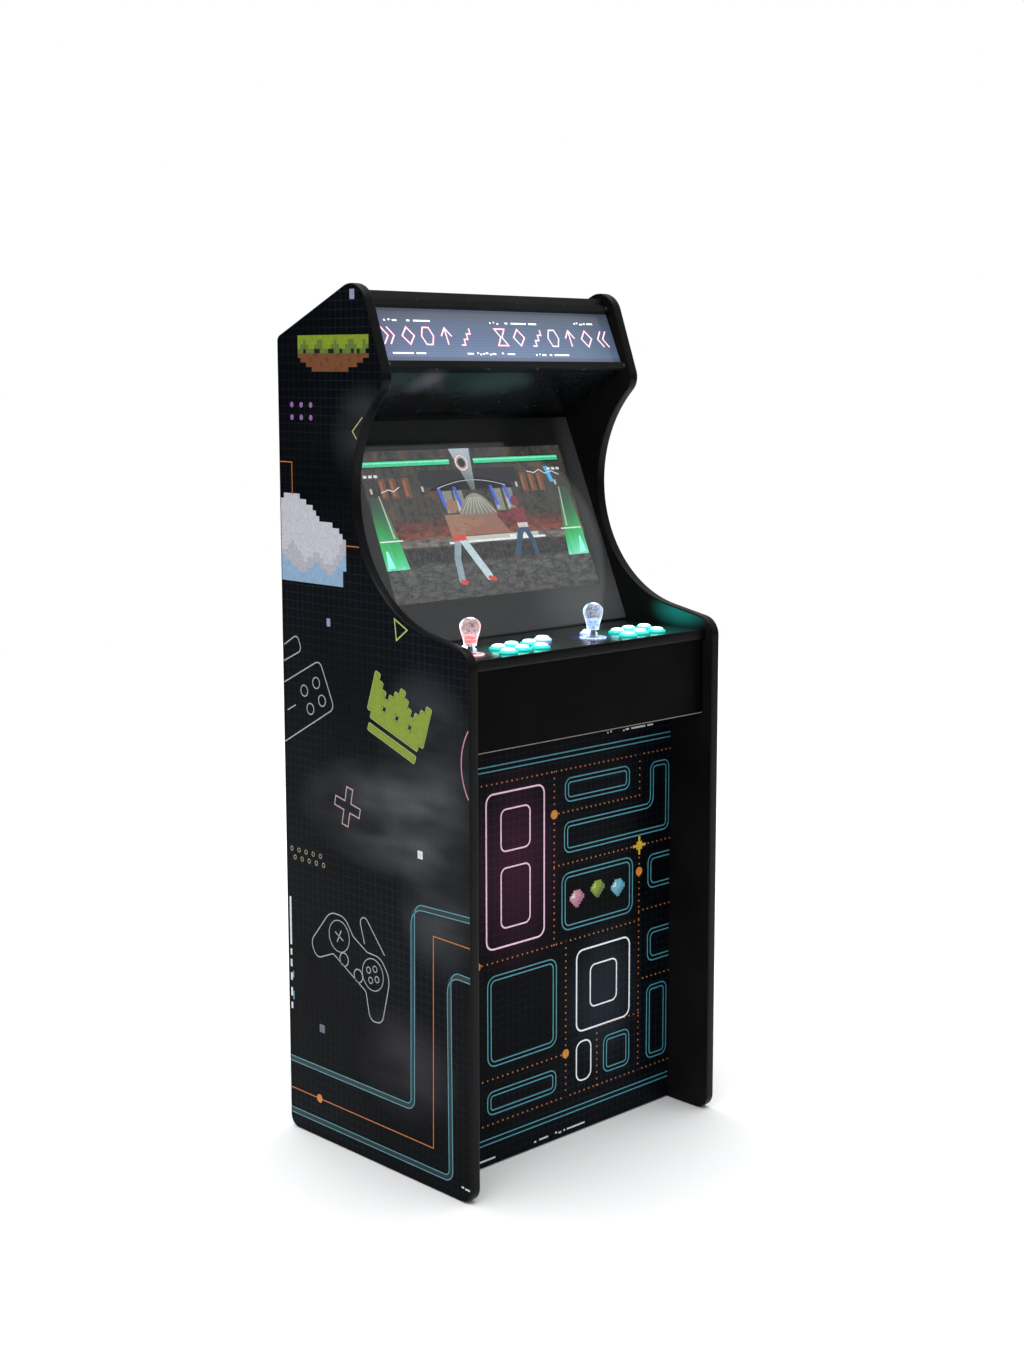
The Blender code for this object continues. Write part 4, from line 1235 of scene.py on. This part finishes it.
def picture_light(name, low, high, *stops):
    """Streaky light on the display that changes colour from low to high, in millimetres up it."""
    made = Nodes(name, Roughness=0.35, Base_Color=(0.01, 0.01, 0.012))
    up = SCREEN.height(made, PICTURE_LOW)
    wave = made.span(made.noise(60, 4, 0.6, made.stretched(1, 0.2, 0.2)), 0.3, 0.7, -0.12, 0.12)
    share = made.math("ADD", made.span(up, low * MM, high * MM), wave)
    made.link(made.ramp(share, *stops), "Emission Color")
    made.set(Emission_Strength=1.0)
    return made.material


def picture_inks():
    """Every lit colour of the display's picture."""
    colours = {
        "black": (0.006, 0.006, 0.008),
        "soot": (0.020, 0.020, 0.024),
        "bar": (0.05, 0.50, 0.24),
        "bar_light": (0.20, 0.78, 0.48),
        "pale": (0.62, 0.64, 0.62),
        "cream": (0.42, 0.40, 0.33),
        "window": (0.19, 0.19, 0.16),
        "lamp": (0.05, 0.10, 0.50),
        "rust": (0.28, 0.10, 0.045),
        "rust_dim": (0.13, 0.06, 0.035),
        "mint": (0.28, 0.85, 0.66),
        "jacket": (0.17, 0.035, 0.04),
        "denim": (0.035, 0.065, 0.11),
        "boot": (0.10, 0.045, 0.03),
        "cloth": (0.40, 0.47, 0.50),
        "cloth_dim": (0.22, 0.27, 0.30),
        "sash": (0.48, 0.06, 0.045),
        "ochre": (0.26, 0.14, 0.09),
        "blouse": (0.50, 0.44, 0.42),
        "rim": (0.55, 0.16, 0.13),
        "cyan_lamp": (0.05, 0.35, 0.62),
    }
    lit = {name: ink("lit_" + name, colour, 1.25, 0.3) for name, colour in colours.items()}
    lit["pillar"] = picture_light(
        "lit_pillar", 64, 206,
        (0.0, (0.35, 0.95, 0.72)), (0.10, (0.10, 0.80, 0.38)), (0.32, (0.035, 0.52, 0.13)),
        (0.55, (0.03, 0.26, 0.08)), (0.80, (0.035, 0.11, 0.06)), (1.0, (0.045, 0.06, 0.05)),
    )
    lit["shaft"] = picture_light(
        "lit_shaft", 200, 286,
        (0.0, (0.10, 0.11, 0.10)), (0.35, (0.26, 0.31, 0.33)), (1.0, (0.52, 0.60, 0.66)),
    )
    lit["plume"] = picture_light(
        "lit_plume", 118, 200,
        (0.0, (0.36, 0.14, 0.10)), (0.42, (0.30, 0.17, 0.13)), (0.55, (0.24, 0.23, 0.18)),
        (1.0, (0.34, 0.35, 0.30)),
    )
    return lit


def screen():
    """The clear sheet, the dark card behind it, and the display's picture made of lit shapes."""
    paint(clear_sheet("screen_sheet", (0.93, 0.94, 0.95), 0.015), "screen_window")
    paint(bezel_card(), "screen_bezel")
    paint(stage_backdrop(), "display_panel")
    dark = plastic("dark_plastic", (0.012, 0.012, 0.013))
    paint(dark, "display_housing", "left_speaker", "right_speaker")
    lit = picture_inks()
    art = Print("picture", SCREEN.at(0, PICTURE_LOW, PICTURE_DEEP), SCREEN.across, SCREEN.up)
    shop_front(art, lit)
    fountain(art, lit)
    pillars(art, lit)
    figure(art, lit, (-62, 28), 168, "ochre", "sash", "cloth", "cloth_dim", "sash", 1)
    figure(art, lit, (98, 62), 132, "jacket", "blouse", "denim", "denim", "boot", -1)
    gauges(art, lit)
    art.finish()


def shop_front(art, lit):
    """Windows and lamps in the distance, with a dark awning over the middle ones."""
    art.block(lit["soot"], (-118, 214), (122, 246))
    for left in (-74, -48, 48, 76):
        art.block(lit["window"], (left, 162), (left + 22, 205))
        art.block(lit["cream"], (left + 3, 166), (left + 8, 186), 1)
    for left in (-84, -46, 44, 78):
        art.face(lit["lamp"], ((left, 212), (left + 7, 212), (left + 13, 172), (left + 6, 172)), 2)
    awning = [(-96 + 4.9 * i, 212 + 17 * math.sin(math.pi * i / 40)) for i in range(41)]
    art.face(lit["black"], [(-104, 206)] + awning + [(108, 206)], 1)
    art.line(lit["pale"], [(x, y - 5) for x, y in awning[3:-3]], 0.9, level=3)
    for left in (-214, -190, -160, 128, 150, 172):
        art.block(lit["rust_dim"], (left, 196), (left + 15, 234))
        art.block(lit["rust"], (left + 2, 200), (left + 7, 230), 1)
    for left in (-238, -120, 112, 214):
        art.block(lit["cream"], (left, 206), (left + 5, 216), 2)
    art.face(lit["cyan_lamp"], ((196, 244), (208, 244), (214, 212), (204, 212)), 2)
    right_string = ((150, 236), (168, 232), (182, 238), (196, 230), (214, 234), (232, 226))
    left_string = ((-214, 208), (-196, 213), (-186, 209), (-170, 217))
    art.line(lit["pale"], right_string, 1.6, level=3)
    art.line(lit["pale"], left_string, 1.6, level=3)


def fountain(art, lit):
    """A broad beam from above and the bright shape that it falls on, over a warm counter."""
    art.face(lit["shaft"], ((-30, 286), (20, 286), (8, 204), (-2, 204)), 3)
    plume = [(-48 + 96 * i / 24, 152 + 46 * math.sin(math.pi * i / 24) ** 0.7) for i in range(25)]
    art.face(lit["plume"], plume, 3)
    for index in range(9):
        lean = (index - 4) * 9
        art.line(lit["cream"], ((lean * 0.35, 190), (lean * 1.2, 158)), 1.2, level=4)
    art.face(lit["plume"], ((-78, 118), (66, 118), (40, 156), (-50, 156)), 2)
    art.block(lit["pale"], (-90, 104), (150, 108), 2)
    art.block(lit["cream"], (-72, 108), (134, 116), 2)
    for left in (60, 88):
        art.block(lit["pale"], (left, 106), (left + 15, 113), 3)


def pillars(art, lit):
    """A tall glow of green light near each end, hottest at its foot."""
    for sign in (-1, 1):

        def at(points):
            return [(sign * u, v) for u, v in points]

        art.face(lit["pillar"], at(((244, 200), (218, 200), (204, 118), (197, 64), (251, 64), (251, 118))), 2)
        art.face(lit["mint"], at(((240, 100), (237, 100), (229, 68), (245, 68))), 4)
        art.face(lit["cream"], at(((223, 202), (221, 202), (211, 122), (215, 122))), 4)
        art.block(lit["pale"], (sign * 222 - 26, 116), (sign * 222 + 26, 118.5), 4)


def limb(art, colour, points, width, level):
    """A thick line with round ends and joints."""
    art.line(colour, points, width, level=level)
    for point in points:
        art.disc(colour, point, width / 2, 12, level)


def figure(art, lit, foot, tall, top, belt, leg, other_leg, shoe, side):
    """A plain jointed pictogram of a person in a guard, without a face. side is the way it looks along X."""
    unit = tall / 100
    base = Vector(foot)

    def at(*points):
        return [base + Vector((side * u, v)) * unit for u, v in points]

    limb(art, lit[other_leg], at((-4, 50), (-12, 28), (-14, 4)), 9 * unit, 5)
    limb(art, lit[leg], at((2, 50), (14, 28), (26, 6)), 10 * unit, 6)
    limb(art, lit[shoe], at((-15, 2), (-9, 1)), 5 * unit, 6)
    limb(art, lit[shoe], at((26, 4), (33, 2)), 5 * unit, 7)
    art.face(lit[top], at((-11, 50), (8, 50), (12, 78), (-13, 78)), 7)
    art.face(lit[belt], at((-11, 48), (8, 48), (8.5, 55), (-11, 55)), 8)
    limb(art, lit[top], at((8, 74), (26, 66), (38, 70)), 7 * unit, 8)
    limb(art, lit[top], at((-10, 74), (-2, 60), (14, 62)), 7 * unit, 8)
    art.disc(lit[top], at((1, 88))[0], 8 * unit, 20, 8)


def gauges(art, lit):
    """Two long bars and a ring between them along the top, as on any duel game."""
    for low, high in ((-250, -37), (22, 240)):
        art.block(lit["black"], (low - 2, 254), (high + 2, 268), 9)
        art.block(lit["bar"], (low, 256), (high, 266), 10)
        art.block(lit["bar_light"], (low, 261.5), (high, 264), 11)
    art.circle(lit["rim"], (-8, 258), 14, 4.4, 30, 9)
    art.circle(lit["pale"], (-8, 258), 14, 2.4, 30, 10)
    art.disc(lit["soot"], (-8, 258), 9, 24, 8)
    for index in range(3):
        art.block(lit["pale"], (-246 + 12 * index, 236), (-238 + 12 * index, 241), 10)
        art.block(lit["pale"], (228 - 12 * index, 236), (236 - 12 * index, 241), 10)


# ---------------------------------------------------------------- buttons and sticks

RIM = (
    (12.5, 3.5), (12.8, 4.0), (13.4, 4.2), (14.5, 4.1), (15.5, 3.5), (16.2, 2.5),
    (16.5, 1.2), (16.5, 0.3), (13.7, 0.3), (13.7, -30.0), (12.5, -30.0),
)
PLUNGER = (
    (0, 9.0), (4.0, 8.9), (7.5, 8.55), (9.6, 7.9), (11.0, 6.9),
    (11.8, 5.6), (12.0, 4.4), (12.0, -14.0), (0, -14.0),
)
BARREL_FOOT = 30 * MM
BOARD_EDGE = 0.013


def middle_of(node):
    low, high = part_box(node)
    return (low.x + high.x) / 2, (low.y + high.y) / 2


def plungers():
    """Fine plungers on their own bodies. Returns each housing's (x, y, whether it is a play button)."""
    teal = lit_plastic("teal_button", (0.0, 0.62, 0.50), (0.85, 1.0, 0.96), 3.2)
    ice = lit_plastic("white_button", (0.35, 0.52, 1.0), (0.95, 0.98, 1.0), 3.2)
    groups = {"p1_button_housings": [], "p2_button_housings": [], "centre_button_housing": []}
    for node in sorted(nodes):
        is_play = "_button_" in node and "housing" not in node
        if not is_play and node not in ("p1_start_button", "p2_start_button", "centre_button"):
            continue
        x, y = middle_of(node)
        shape = bmesh.new()
        lathe(shape, PLUNGER, upright(x, y, DECK_TOP), 40)
        keep(node + "_cap", shape, teal if is_play else ice, node, [node], 40)
        owner = node[:2] + "_button_housings" if node.startswith("p") else "centre_button_housing"
        groups[owner].append((x, y, is_play))
    return groups


def switch_board(shape, node, spots):
    """The board that carries one player's switches, clipped to the CAD node's own box."""
    low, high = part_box(node)
    wide = [x for x, _, _ in spots]
    deep = [y for _, y, _ in spots]
    near = (max(low.x, min(wide) - BOARD_EDGE), max(low.y, min(deep) - BOARD_EDGE), low.z)
    far = (min(high.x, max(wide) + BOARD_EDGE), min(high.y, max(deep) + BOARD_EDGE), low.z + 3 * MM)
    add_box(shape, near, far, bevel=0.4 * MM)


def buttons():
    """The plungers, and each player's rims, barrels, board and switches as one housing."""
    groups = plungers()
    teal_rim = lit_plastic("teal_rim", (0.0, 0.42, 0.36), (0.05, 0.80, 0.66), 0.9)
    ice_rim = lit_plastic("white_rim", (0.25, 0.36, 0.75), (0.75, 0.82, 1.0), 1.0)
    floor = DECK_TOP - BARREL_FOOT
    for node, spots in groups.items():
        housing = bmesh.new()
        rims = bmesh.new()
        ice_rims = bmesh.new()
        for x, y, is_play in spots:
            lathe(rims if is_play else ice_rims, RIM, upright(x, y, DECK_TOP), 40, True)
            low = (x - 9.5 * MM, y - 5 * MM, floor - 1.4 * MM)
            high = (x + 9.5 * MM, y + 5 * MM, floor + 9 * MM)
            add_box(housing, low, high, bevel=0.5 * MM)
        if node == "centre_button_housing":
            rims.free()
        else:
            switch_board(housing, node, spots)
            keep(node + "_teal_rims", rims, teal_rim, smooth=40)
        keep(node + "_white_rims", ice_rims, ice_rim, smooth=40)
        board = plastic(node + "_board", (0.012, 0.05, 0.025))
        keep(node + "_switches", housing, board, replaces=[node], smooth=40)


def bulb_outline():
    """The grip's outer line, top to bottom, then its socket."""
    steps = 14
    points = []
    for step in range(steps):
        angle = math.pi / 2 * step / (steps - 1)
        points.append((18 * math.sin(angle), 33.5 + 14.5 * math.cos(angle)))
    for step in range(1, steps):
        part = step / (steps - 1)
        ease = (1 + math.cos(math.pi * part)) / 2
        points.append((11 + 7 * ease, 33.5 * (1 - part) + 0.6 * math.sin(math.pi * part)))
    return points + [(5.4, 0), (5.4, 21.4), (0, 21.4)]


def bulb_plastic(name, tint, strength):
    """Clear moulded grip that carries light to its edges, with streaks and bubbles in it."""
    made = Nodes(name, Transmission_Weight=1.0, IOR=1.45, Roughness=0.05, Base_Color=(0.97, 0.97, 1.0))
    edge = made.tree_node("ShaderNodeLayerWeight")
    edge.inputs["Blend"].default_value = 0.42
    facing_edge = made.math("POWER", edge.outputs["Facing"], 1.6)
    swirl = made.span(made.noise(210, 5, 0.8), 0.47, 0.57)
    light = made.math("ADD", made.math("MULTIPLY", facing_edge, 0.75), made.math("MULTIPLY", swirl, 0.6))
    made.link(made.mix(light, tuple(c * 0.03 for c in tint), tint), "Emission Color")
    made.set(Emission_Strength=strength)
    made.bump(made.noise(230, 4, 0.7), 0.0006, 0.7)
    return made.material


LAMP = (
    (5.6, 21), (7.6, 18), (7.6, 15.5), (6.4, 14.5), (6.4, 12), (7.6, 11), (7.6, 8), (6.6, 5), (5.6, 5),
)
WASHER = (
    (14.0, 1.2), (14.4, 1.6), (22.8, 1.6), (23.9, 1.3), (24.3, 0.8),
    (24.1, 0.2), (23.6, 0), (14.4, 0), (14.0, 0.3),
)
STICK_LIGHTS = (
    ("p1", (1.0, 0.62, 0.64), (0.80, 0.12, 0.13), "pink_lit_plastic"),
    ("p2", (0.62, 0.72, 1.0), (0.18, 0.28, 1.0), "blue_lit_plastic"),
)


def sticks():
    """Clear bulbs lit from their necks, steel shafts, and clear dust washers."""
    steel = metal("steel", (0.42, 0.43, 0.45), 0.25)
    paint(steel, "p1_stick_gimbal", "p2_stick_gimbal", "p1_stick_shaft", "p2_stick_shaft", "display_bracket")
    paint(plastic("base_plastic", (0.014, 0.014, 0.015)), "p1_stick_base", "p2_stick_base")
    for player, tint, core, finish in STICK_LIGHTS:
        stick = player + "_stick"
        x, y = middle_of(stick + "_shaft")
        foot = upright(x, y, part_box(stick + "_bulb")[0].z)
        grip = bmesh.new()
        lathe(grip, bulb_outline(), foot, 48)
        clear = bulb_plastic(player + "_bulb_plastic", tint, 0.75)
        keep(player + "_bulb_grip", grip, clear, stick, [stick + "_bulb"], 60)
        lamp = bmesh.new()
        lathe(lamp, LAMP, foot, 32, True)
        glow = lit_plastic(player + "_lamp_plastic", core, tint, 0.85)
        keep(player + "_bulb_lamp", lamp, glow, stick, smooth=40)
        washer = bmesh.new()
        lathe(washer, WASHER, upright(x, y, DECK_TOP + 0.3 * MM), 56, True)
        # Painted glow: the clear washer's emission stands in for the lit grip's light falling on it
        film = bulb_plastic(player + "_washer_plastic", tint, 0.5)
        keep(player + "_washer_ring", washer, film, "cabinet", [player + "_dust_washer"], 40)


# ---------------------------------------------------------------- rear and inside

BACK = Vector((0, 1, 0))


def rear_screws(steel):
    """Screws round the fixed panel and down both leaves of the hinge."""
    low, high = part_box("back_panel")
    inset = 14 * MM
    fixed = bmesh.new()
    rows = 7
    for row in range(rows):
        z = low.z + inset + (high.z - low.z - 2 * inset) * row / (rows - 1)
        for x in (low.x + inset, high.x - inset):
            screw(fixed, facing((x, high.y, z), BACK), 3.6)
    for x in (-0.1, 0.1):
        screw(fixed, facing((x, high.y, high.z - inset), BACK), 3.6)
        screw(fixed, facing((x, high.y, low.z + inset), BACK), 3.6)
    frame_low, frame_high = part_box("door_hinge_frame_leaf")
    door_low, door_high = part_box("door_hinge_door_leaf")
    leaf = 1.4 * MM
    hinge_screws = bmesh.new()
    count = 6
    for index in range(count):
        z = frame_low.z + (frame_high.z - frame_low.z) * (index + 0.5) / count
        screw(fixed, facing((frame_low.x + 10 * MM, frame_low.y + leaf, z), BACK), 2.6)
        screw(hinge_screws, facing((door_high.x - 8 * MM, door_low.y + leaf, z), BACK), 2.6)
    keep("rear_panel_screws", fixed, steel, smooth=40)
    keep("door_hinge_screws", hinge_screws, steel, "rear_door", smooth=40)


def inlet_pins():
    """Three flat pins inside the socket."""
    low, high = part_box("power_inlet")
    socket = Vector(((low.x + high.x) / 2 + 10 * MM, high.y, (low.z + high.z) / 2))
    pins = bmesh.new()
    for across, up in ((-6, 2), (6, 2), (0, -3)):
        centre = socket + Vector((across, -8, up)) * MM
        add_box(pins, centre - Vector((1, 8, 2)) * MM, centre + Vector((1, 4, 2)) * MM, bevel=0.3 * MM)
    keep("inlet_pins", pins, metal("brass", (0.62, 0.46, 0.22), 0.25))


def vents():
    """A wire mesh behind the vents, and a pleated filter behind the mesh."""
    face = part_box("back_panel")[1].y - 12.4 * MM
    pitch = 0.004
    half = 0.5 * MM
    mesh = bmesh.new()
    for index in range(55):
        x = -0.108 + pitch * index
        add_box(mesh, (x - half, face - 1.2 * MM, 1.236), (x + half, face, 1.362))
    for index in range(31):
        z = 1.238 + pitch * index
        add_box(mesh, (-0.112, face - 2.0 * MM, z - half), (0.112, face - 1.0 * MM, z + half))
    keep("vent_mesh", mesh, metal("vent_steel", (0.10, 0.10, 0.11), 0.35))
    pleats = 38
    outline = [(-0.114 + 0.228 * i / pleats, face - (4 + 4 * (i % 2)) * MM) for i in range(pleats + 1)]
    outline += [(0.114, face - 10 * MM), (-0.114, face - 10 * MM)]
    felt = skin([[(x, y, z) for x, y in outline] for z in (1.232, 1.366)])
    keep("vent_filter", felt, laminate("filter_felt", (0.006, 0.006, 0.006), (0.8, 0.95), 700))


def rear():
    """Everything on the back: hinge, lock, inlet and switch, screws, pins, vents."""
    steel = bpy.data.materials["steel"]
    paint(steel, "door_hinge_frame_leaf", "door_hinge_door_leaf", "door_lock")
    paint(plastic("socket_plastic", (0.010, 0.010, 0.011)), "power_inlet")
    paint(plastic("switch_plastic", (0.05, 0.006, 0.005), (0.2, 0.3)), "power_switch")
    rear_screws(steel)
    inlet_pins()
    vents()


def computer():
    """The computer's black case with vent slots on top and a row of ports at the back."""
    paint(laminate("case_black", (0.012, 0.012, 0.014), (0.35, 0.5), 800), "computer")
    soften("computer", 2 * MM)
    low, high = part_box("computer")
    z = low.z + 22 * MM
    lip = 1.5 * MM
    ports = bmesh.new()
    bright = bmesh.new()
    for index, wide in enumerate((14, 14, 32, 16, 16, 14, 28)):
        x = low.x + (18 + 31 * index) * MM
        add_box(bright, (x, high.y, z), (x + wide * MM, high.y + 1.2 * MM, z + 12 * MM), bevel=0.4 * MM)
        add_box(ports, (x + lip, high.y, z + lip), (x + wide * MM - lip, high.y + lip, z + 10.5 * MM))
    for index in range(18):
        x = low.x + (20 + 11 * index) * MM
        add_box(ports, (x, low.y + 20 * MM, high.z), (x + 4 * MM, high.y - 60 * MM, high.z + 0.3 * MM))
    keep("computer_port_frames", bright, bpy.data.materials["steel"])
    keep("computer_ports", ports, bpy.data.materials["dark_plastic"])


def power_supply():
    """The supply's steel case with a round grille over its fan."""
    paint(metal("case_steel", (0.30, 0.31, 0.33), 0.35), "power_supply")
    soften("power_supply", 1.2 * MM)
    low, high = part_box("power_supply")
    place = facing(((low.x + high.x) / 2, high.y, (low.z + high.z) / 2), BACK)
    grille = bmesh.new()
    for radius in (10, 17, 24, 31):
        ring = ((radius - 0.8, 0), (radius - 0.8, 1.4), (radius + 0.8, 1.4), (radius + 0.8, 0))
        lathe(grille, ring, place, 36, True)
    lathe(grille, ((0, 1.6), (6, 1.6), (6, 0), (0, 0)), place, 24)
    keep("supply_fan_grille", grille, bpy.data.materials["steel"], smooth=40)


# ---------------------------------------------------------------- studio

def add_light(name, data, place=(0, 0, 0)):
    light = bpy.data.objects.new(name, data)
    bpy.context.scene.collection.objects.link(light)
    light.location = place
    return light


def area_light(name, place, target, size, power):
    data = bpy.data.lights.new(name, "AREA")
    data.shape = "RECTANGLE"
    data.size, data.size_y = size
    data.energy = power
    light = add_light(name, data, place)
    light.rotation_euler = (Vector(target) - Vector(place)).to_track_quat("-Z", "Y").to_euler()


def lamp(name, place, power, colour, radius=0.012):
    """A small coloured light over the deck, left out of reflections so that no disc shows in the sheet."""
    data = bpy.data.lights.new(name, "POINT")
    data.energy = power
    data.color = colour
    data.shadow_soft_size = radius
    add_light(name, data, place).visible_glossy = False


def white_world():
    """White to the camera. What it lights and what reflects it gets a dim horizon under a bright ceiling."""
    world = bpy.data.worlds.new("studio")
    world.use_nodes = True
    tree = world.node_tree
    sky = tree.nodes["Background"]
    where = tree.nodes.new("ShaderNodeTexCoord")
    parts = tree.nodes.new("ShaderNodeSeparateXYZ")
    tree.links.new(where.outputs["Generated"], parts.inputs[0])
    ramp = tree.nodes.new("ShaderNodeValToRGB")
    for point, (place, grey) in zip(ramp.color_ramp.elements, ((0.06, 0.08), (0.40, 0.62))):
        point.position = place
        point.color = (grey * 0.96, grey * 0.98, grey, 1)
    tree.links.new(parts.outputs[2], ramp.inputs[0])
    tree.links.new(ramp.outputs[0], sky.inputs["Color"])
    shown = tree.nodes.new("ShaderNodeBackground")
    shown.inputs["Color"].default_value = (1, 1, 1, 1)
    path = tree.nodes.new("ShaderNodeLightPath")
    mix = tree.nodes.new("ShaderNodeMixShader")
    tree.links.new(path.outputs["Is Camera Ray"], mix.inputs[0])
    tree.links.new(sky.outputs[0], mix.inputs[1])
    tree.links.new(shown.outputs[0], mix.inputs[2])
    tree.links.new(mix.outputs[0], tree.nodes["World Output"].inputs["Surface"])
    bpy.context.scene.world = world


def floor():
    """A pale round floor that meets the white background."""
    shape = bmesh.new()
    bmesh.ops.create_circle(shape, cap_ends=True, segments=96, radius=6.5)
    mesh = bpy.data.meshes.new("floor")
    shape.to_mesh(mesh)
    shape.free()
    made = Nodes("floor", Specular_IOR_Level=0.0, Roughness=0.9)
    cloud = made.span(made.noise(1.5, 2), 0.3, 0.7)
    made.link(made.mix(cloud, (0.84, 0.84, 0.84), (0.87, 0.87, 0.87)), "Base Color")
    mesh.materials.append(made.material)
    ground = bpy.data.objects.new("floor", mesh)
    bpy.context.scene.collection.objects.link(ground)


def overhead(power, spread):
    """One very soft light from straight above, so that the floor is evenly pale."""
    data = bpy.data.lights.new("overhead", "SUN")
    data.energy = power
    data.angle = math.radians(spread)
    add_light("overhead", data)


def studio():
    """Soft key, a rear fill, a light from above, and the controls' own coloured spill."""
    white_world()
    floor()
    overhead(2.7, 70)
    area_light("key", (-2.8, -1.6, 2.8), (0, 0, 0.9), (1.6, 2.0), 14)
    area_light("rear_fill", (0.6, 3.0, 2.2), (0, 0, 0.8), (1.8, 1.4), 20)
    teal = (0.05, 1.0, 0.80)
    lamp("p2_buttons_light", (0.190, -0.170, DECK_TOP + 0.03), 0.14, teal, 0.02)
    lamp("p1_buttons_light", (-0.130, -0.175, DECK_TOP + 0.03), 0.14, teal, 0.02)
    lamp("p2_stick_light", (0.061, -0.180, DECK_TOP + 0.012), 0.05, (0.25, 0.35, 1.0))
    lamp("p1_stick_light", (-0.234, -0.180, DECK_TOP + 0.012), 0.05, (1.0, 0.15, 0.2))
    bpy.context.scene.view_settings.view_transform = "Standard"


# ---------------------------------------------------------------- build

add_camera()
boards()
colours = inks()
side_art("left_art", OUTER, -1, colours)
side_art("right_art", -OUTER, 1, colours)
kick_art(colours)
marquee()
screen()
buttons()
sticks()
rear()
computer()
power_supply()
studio()
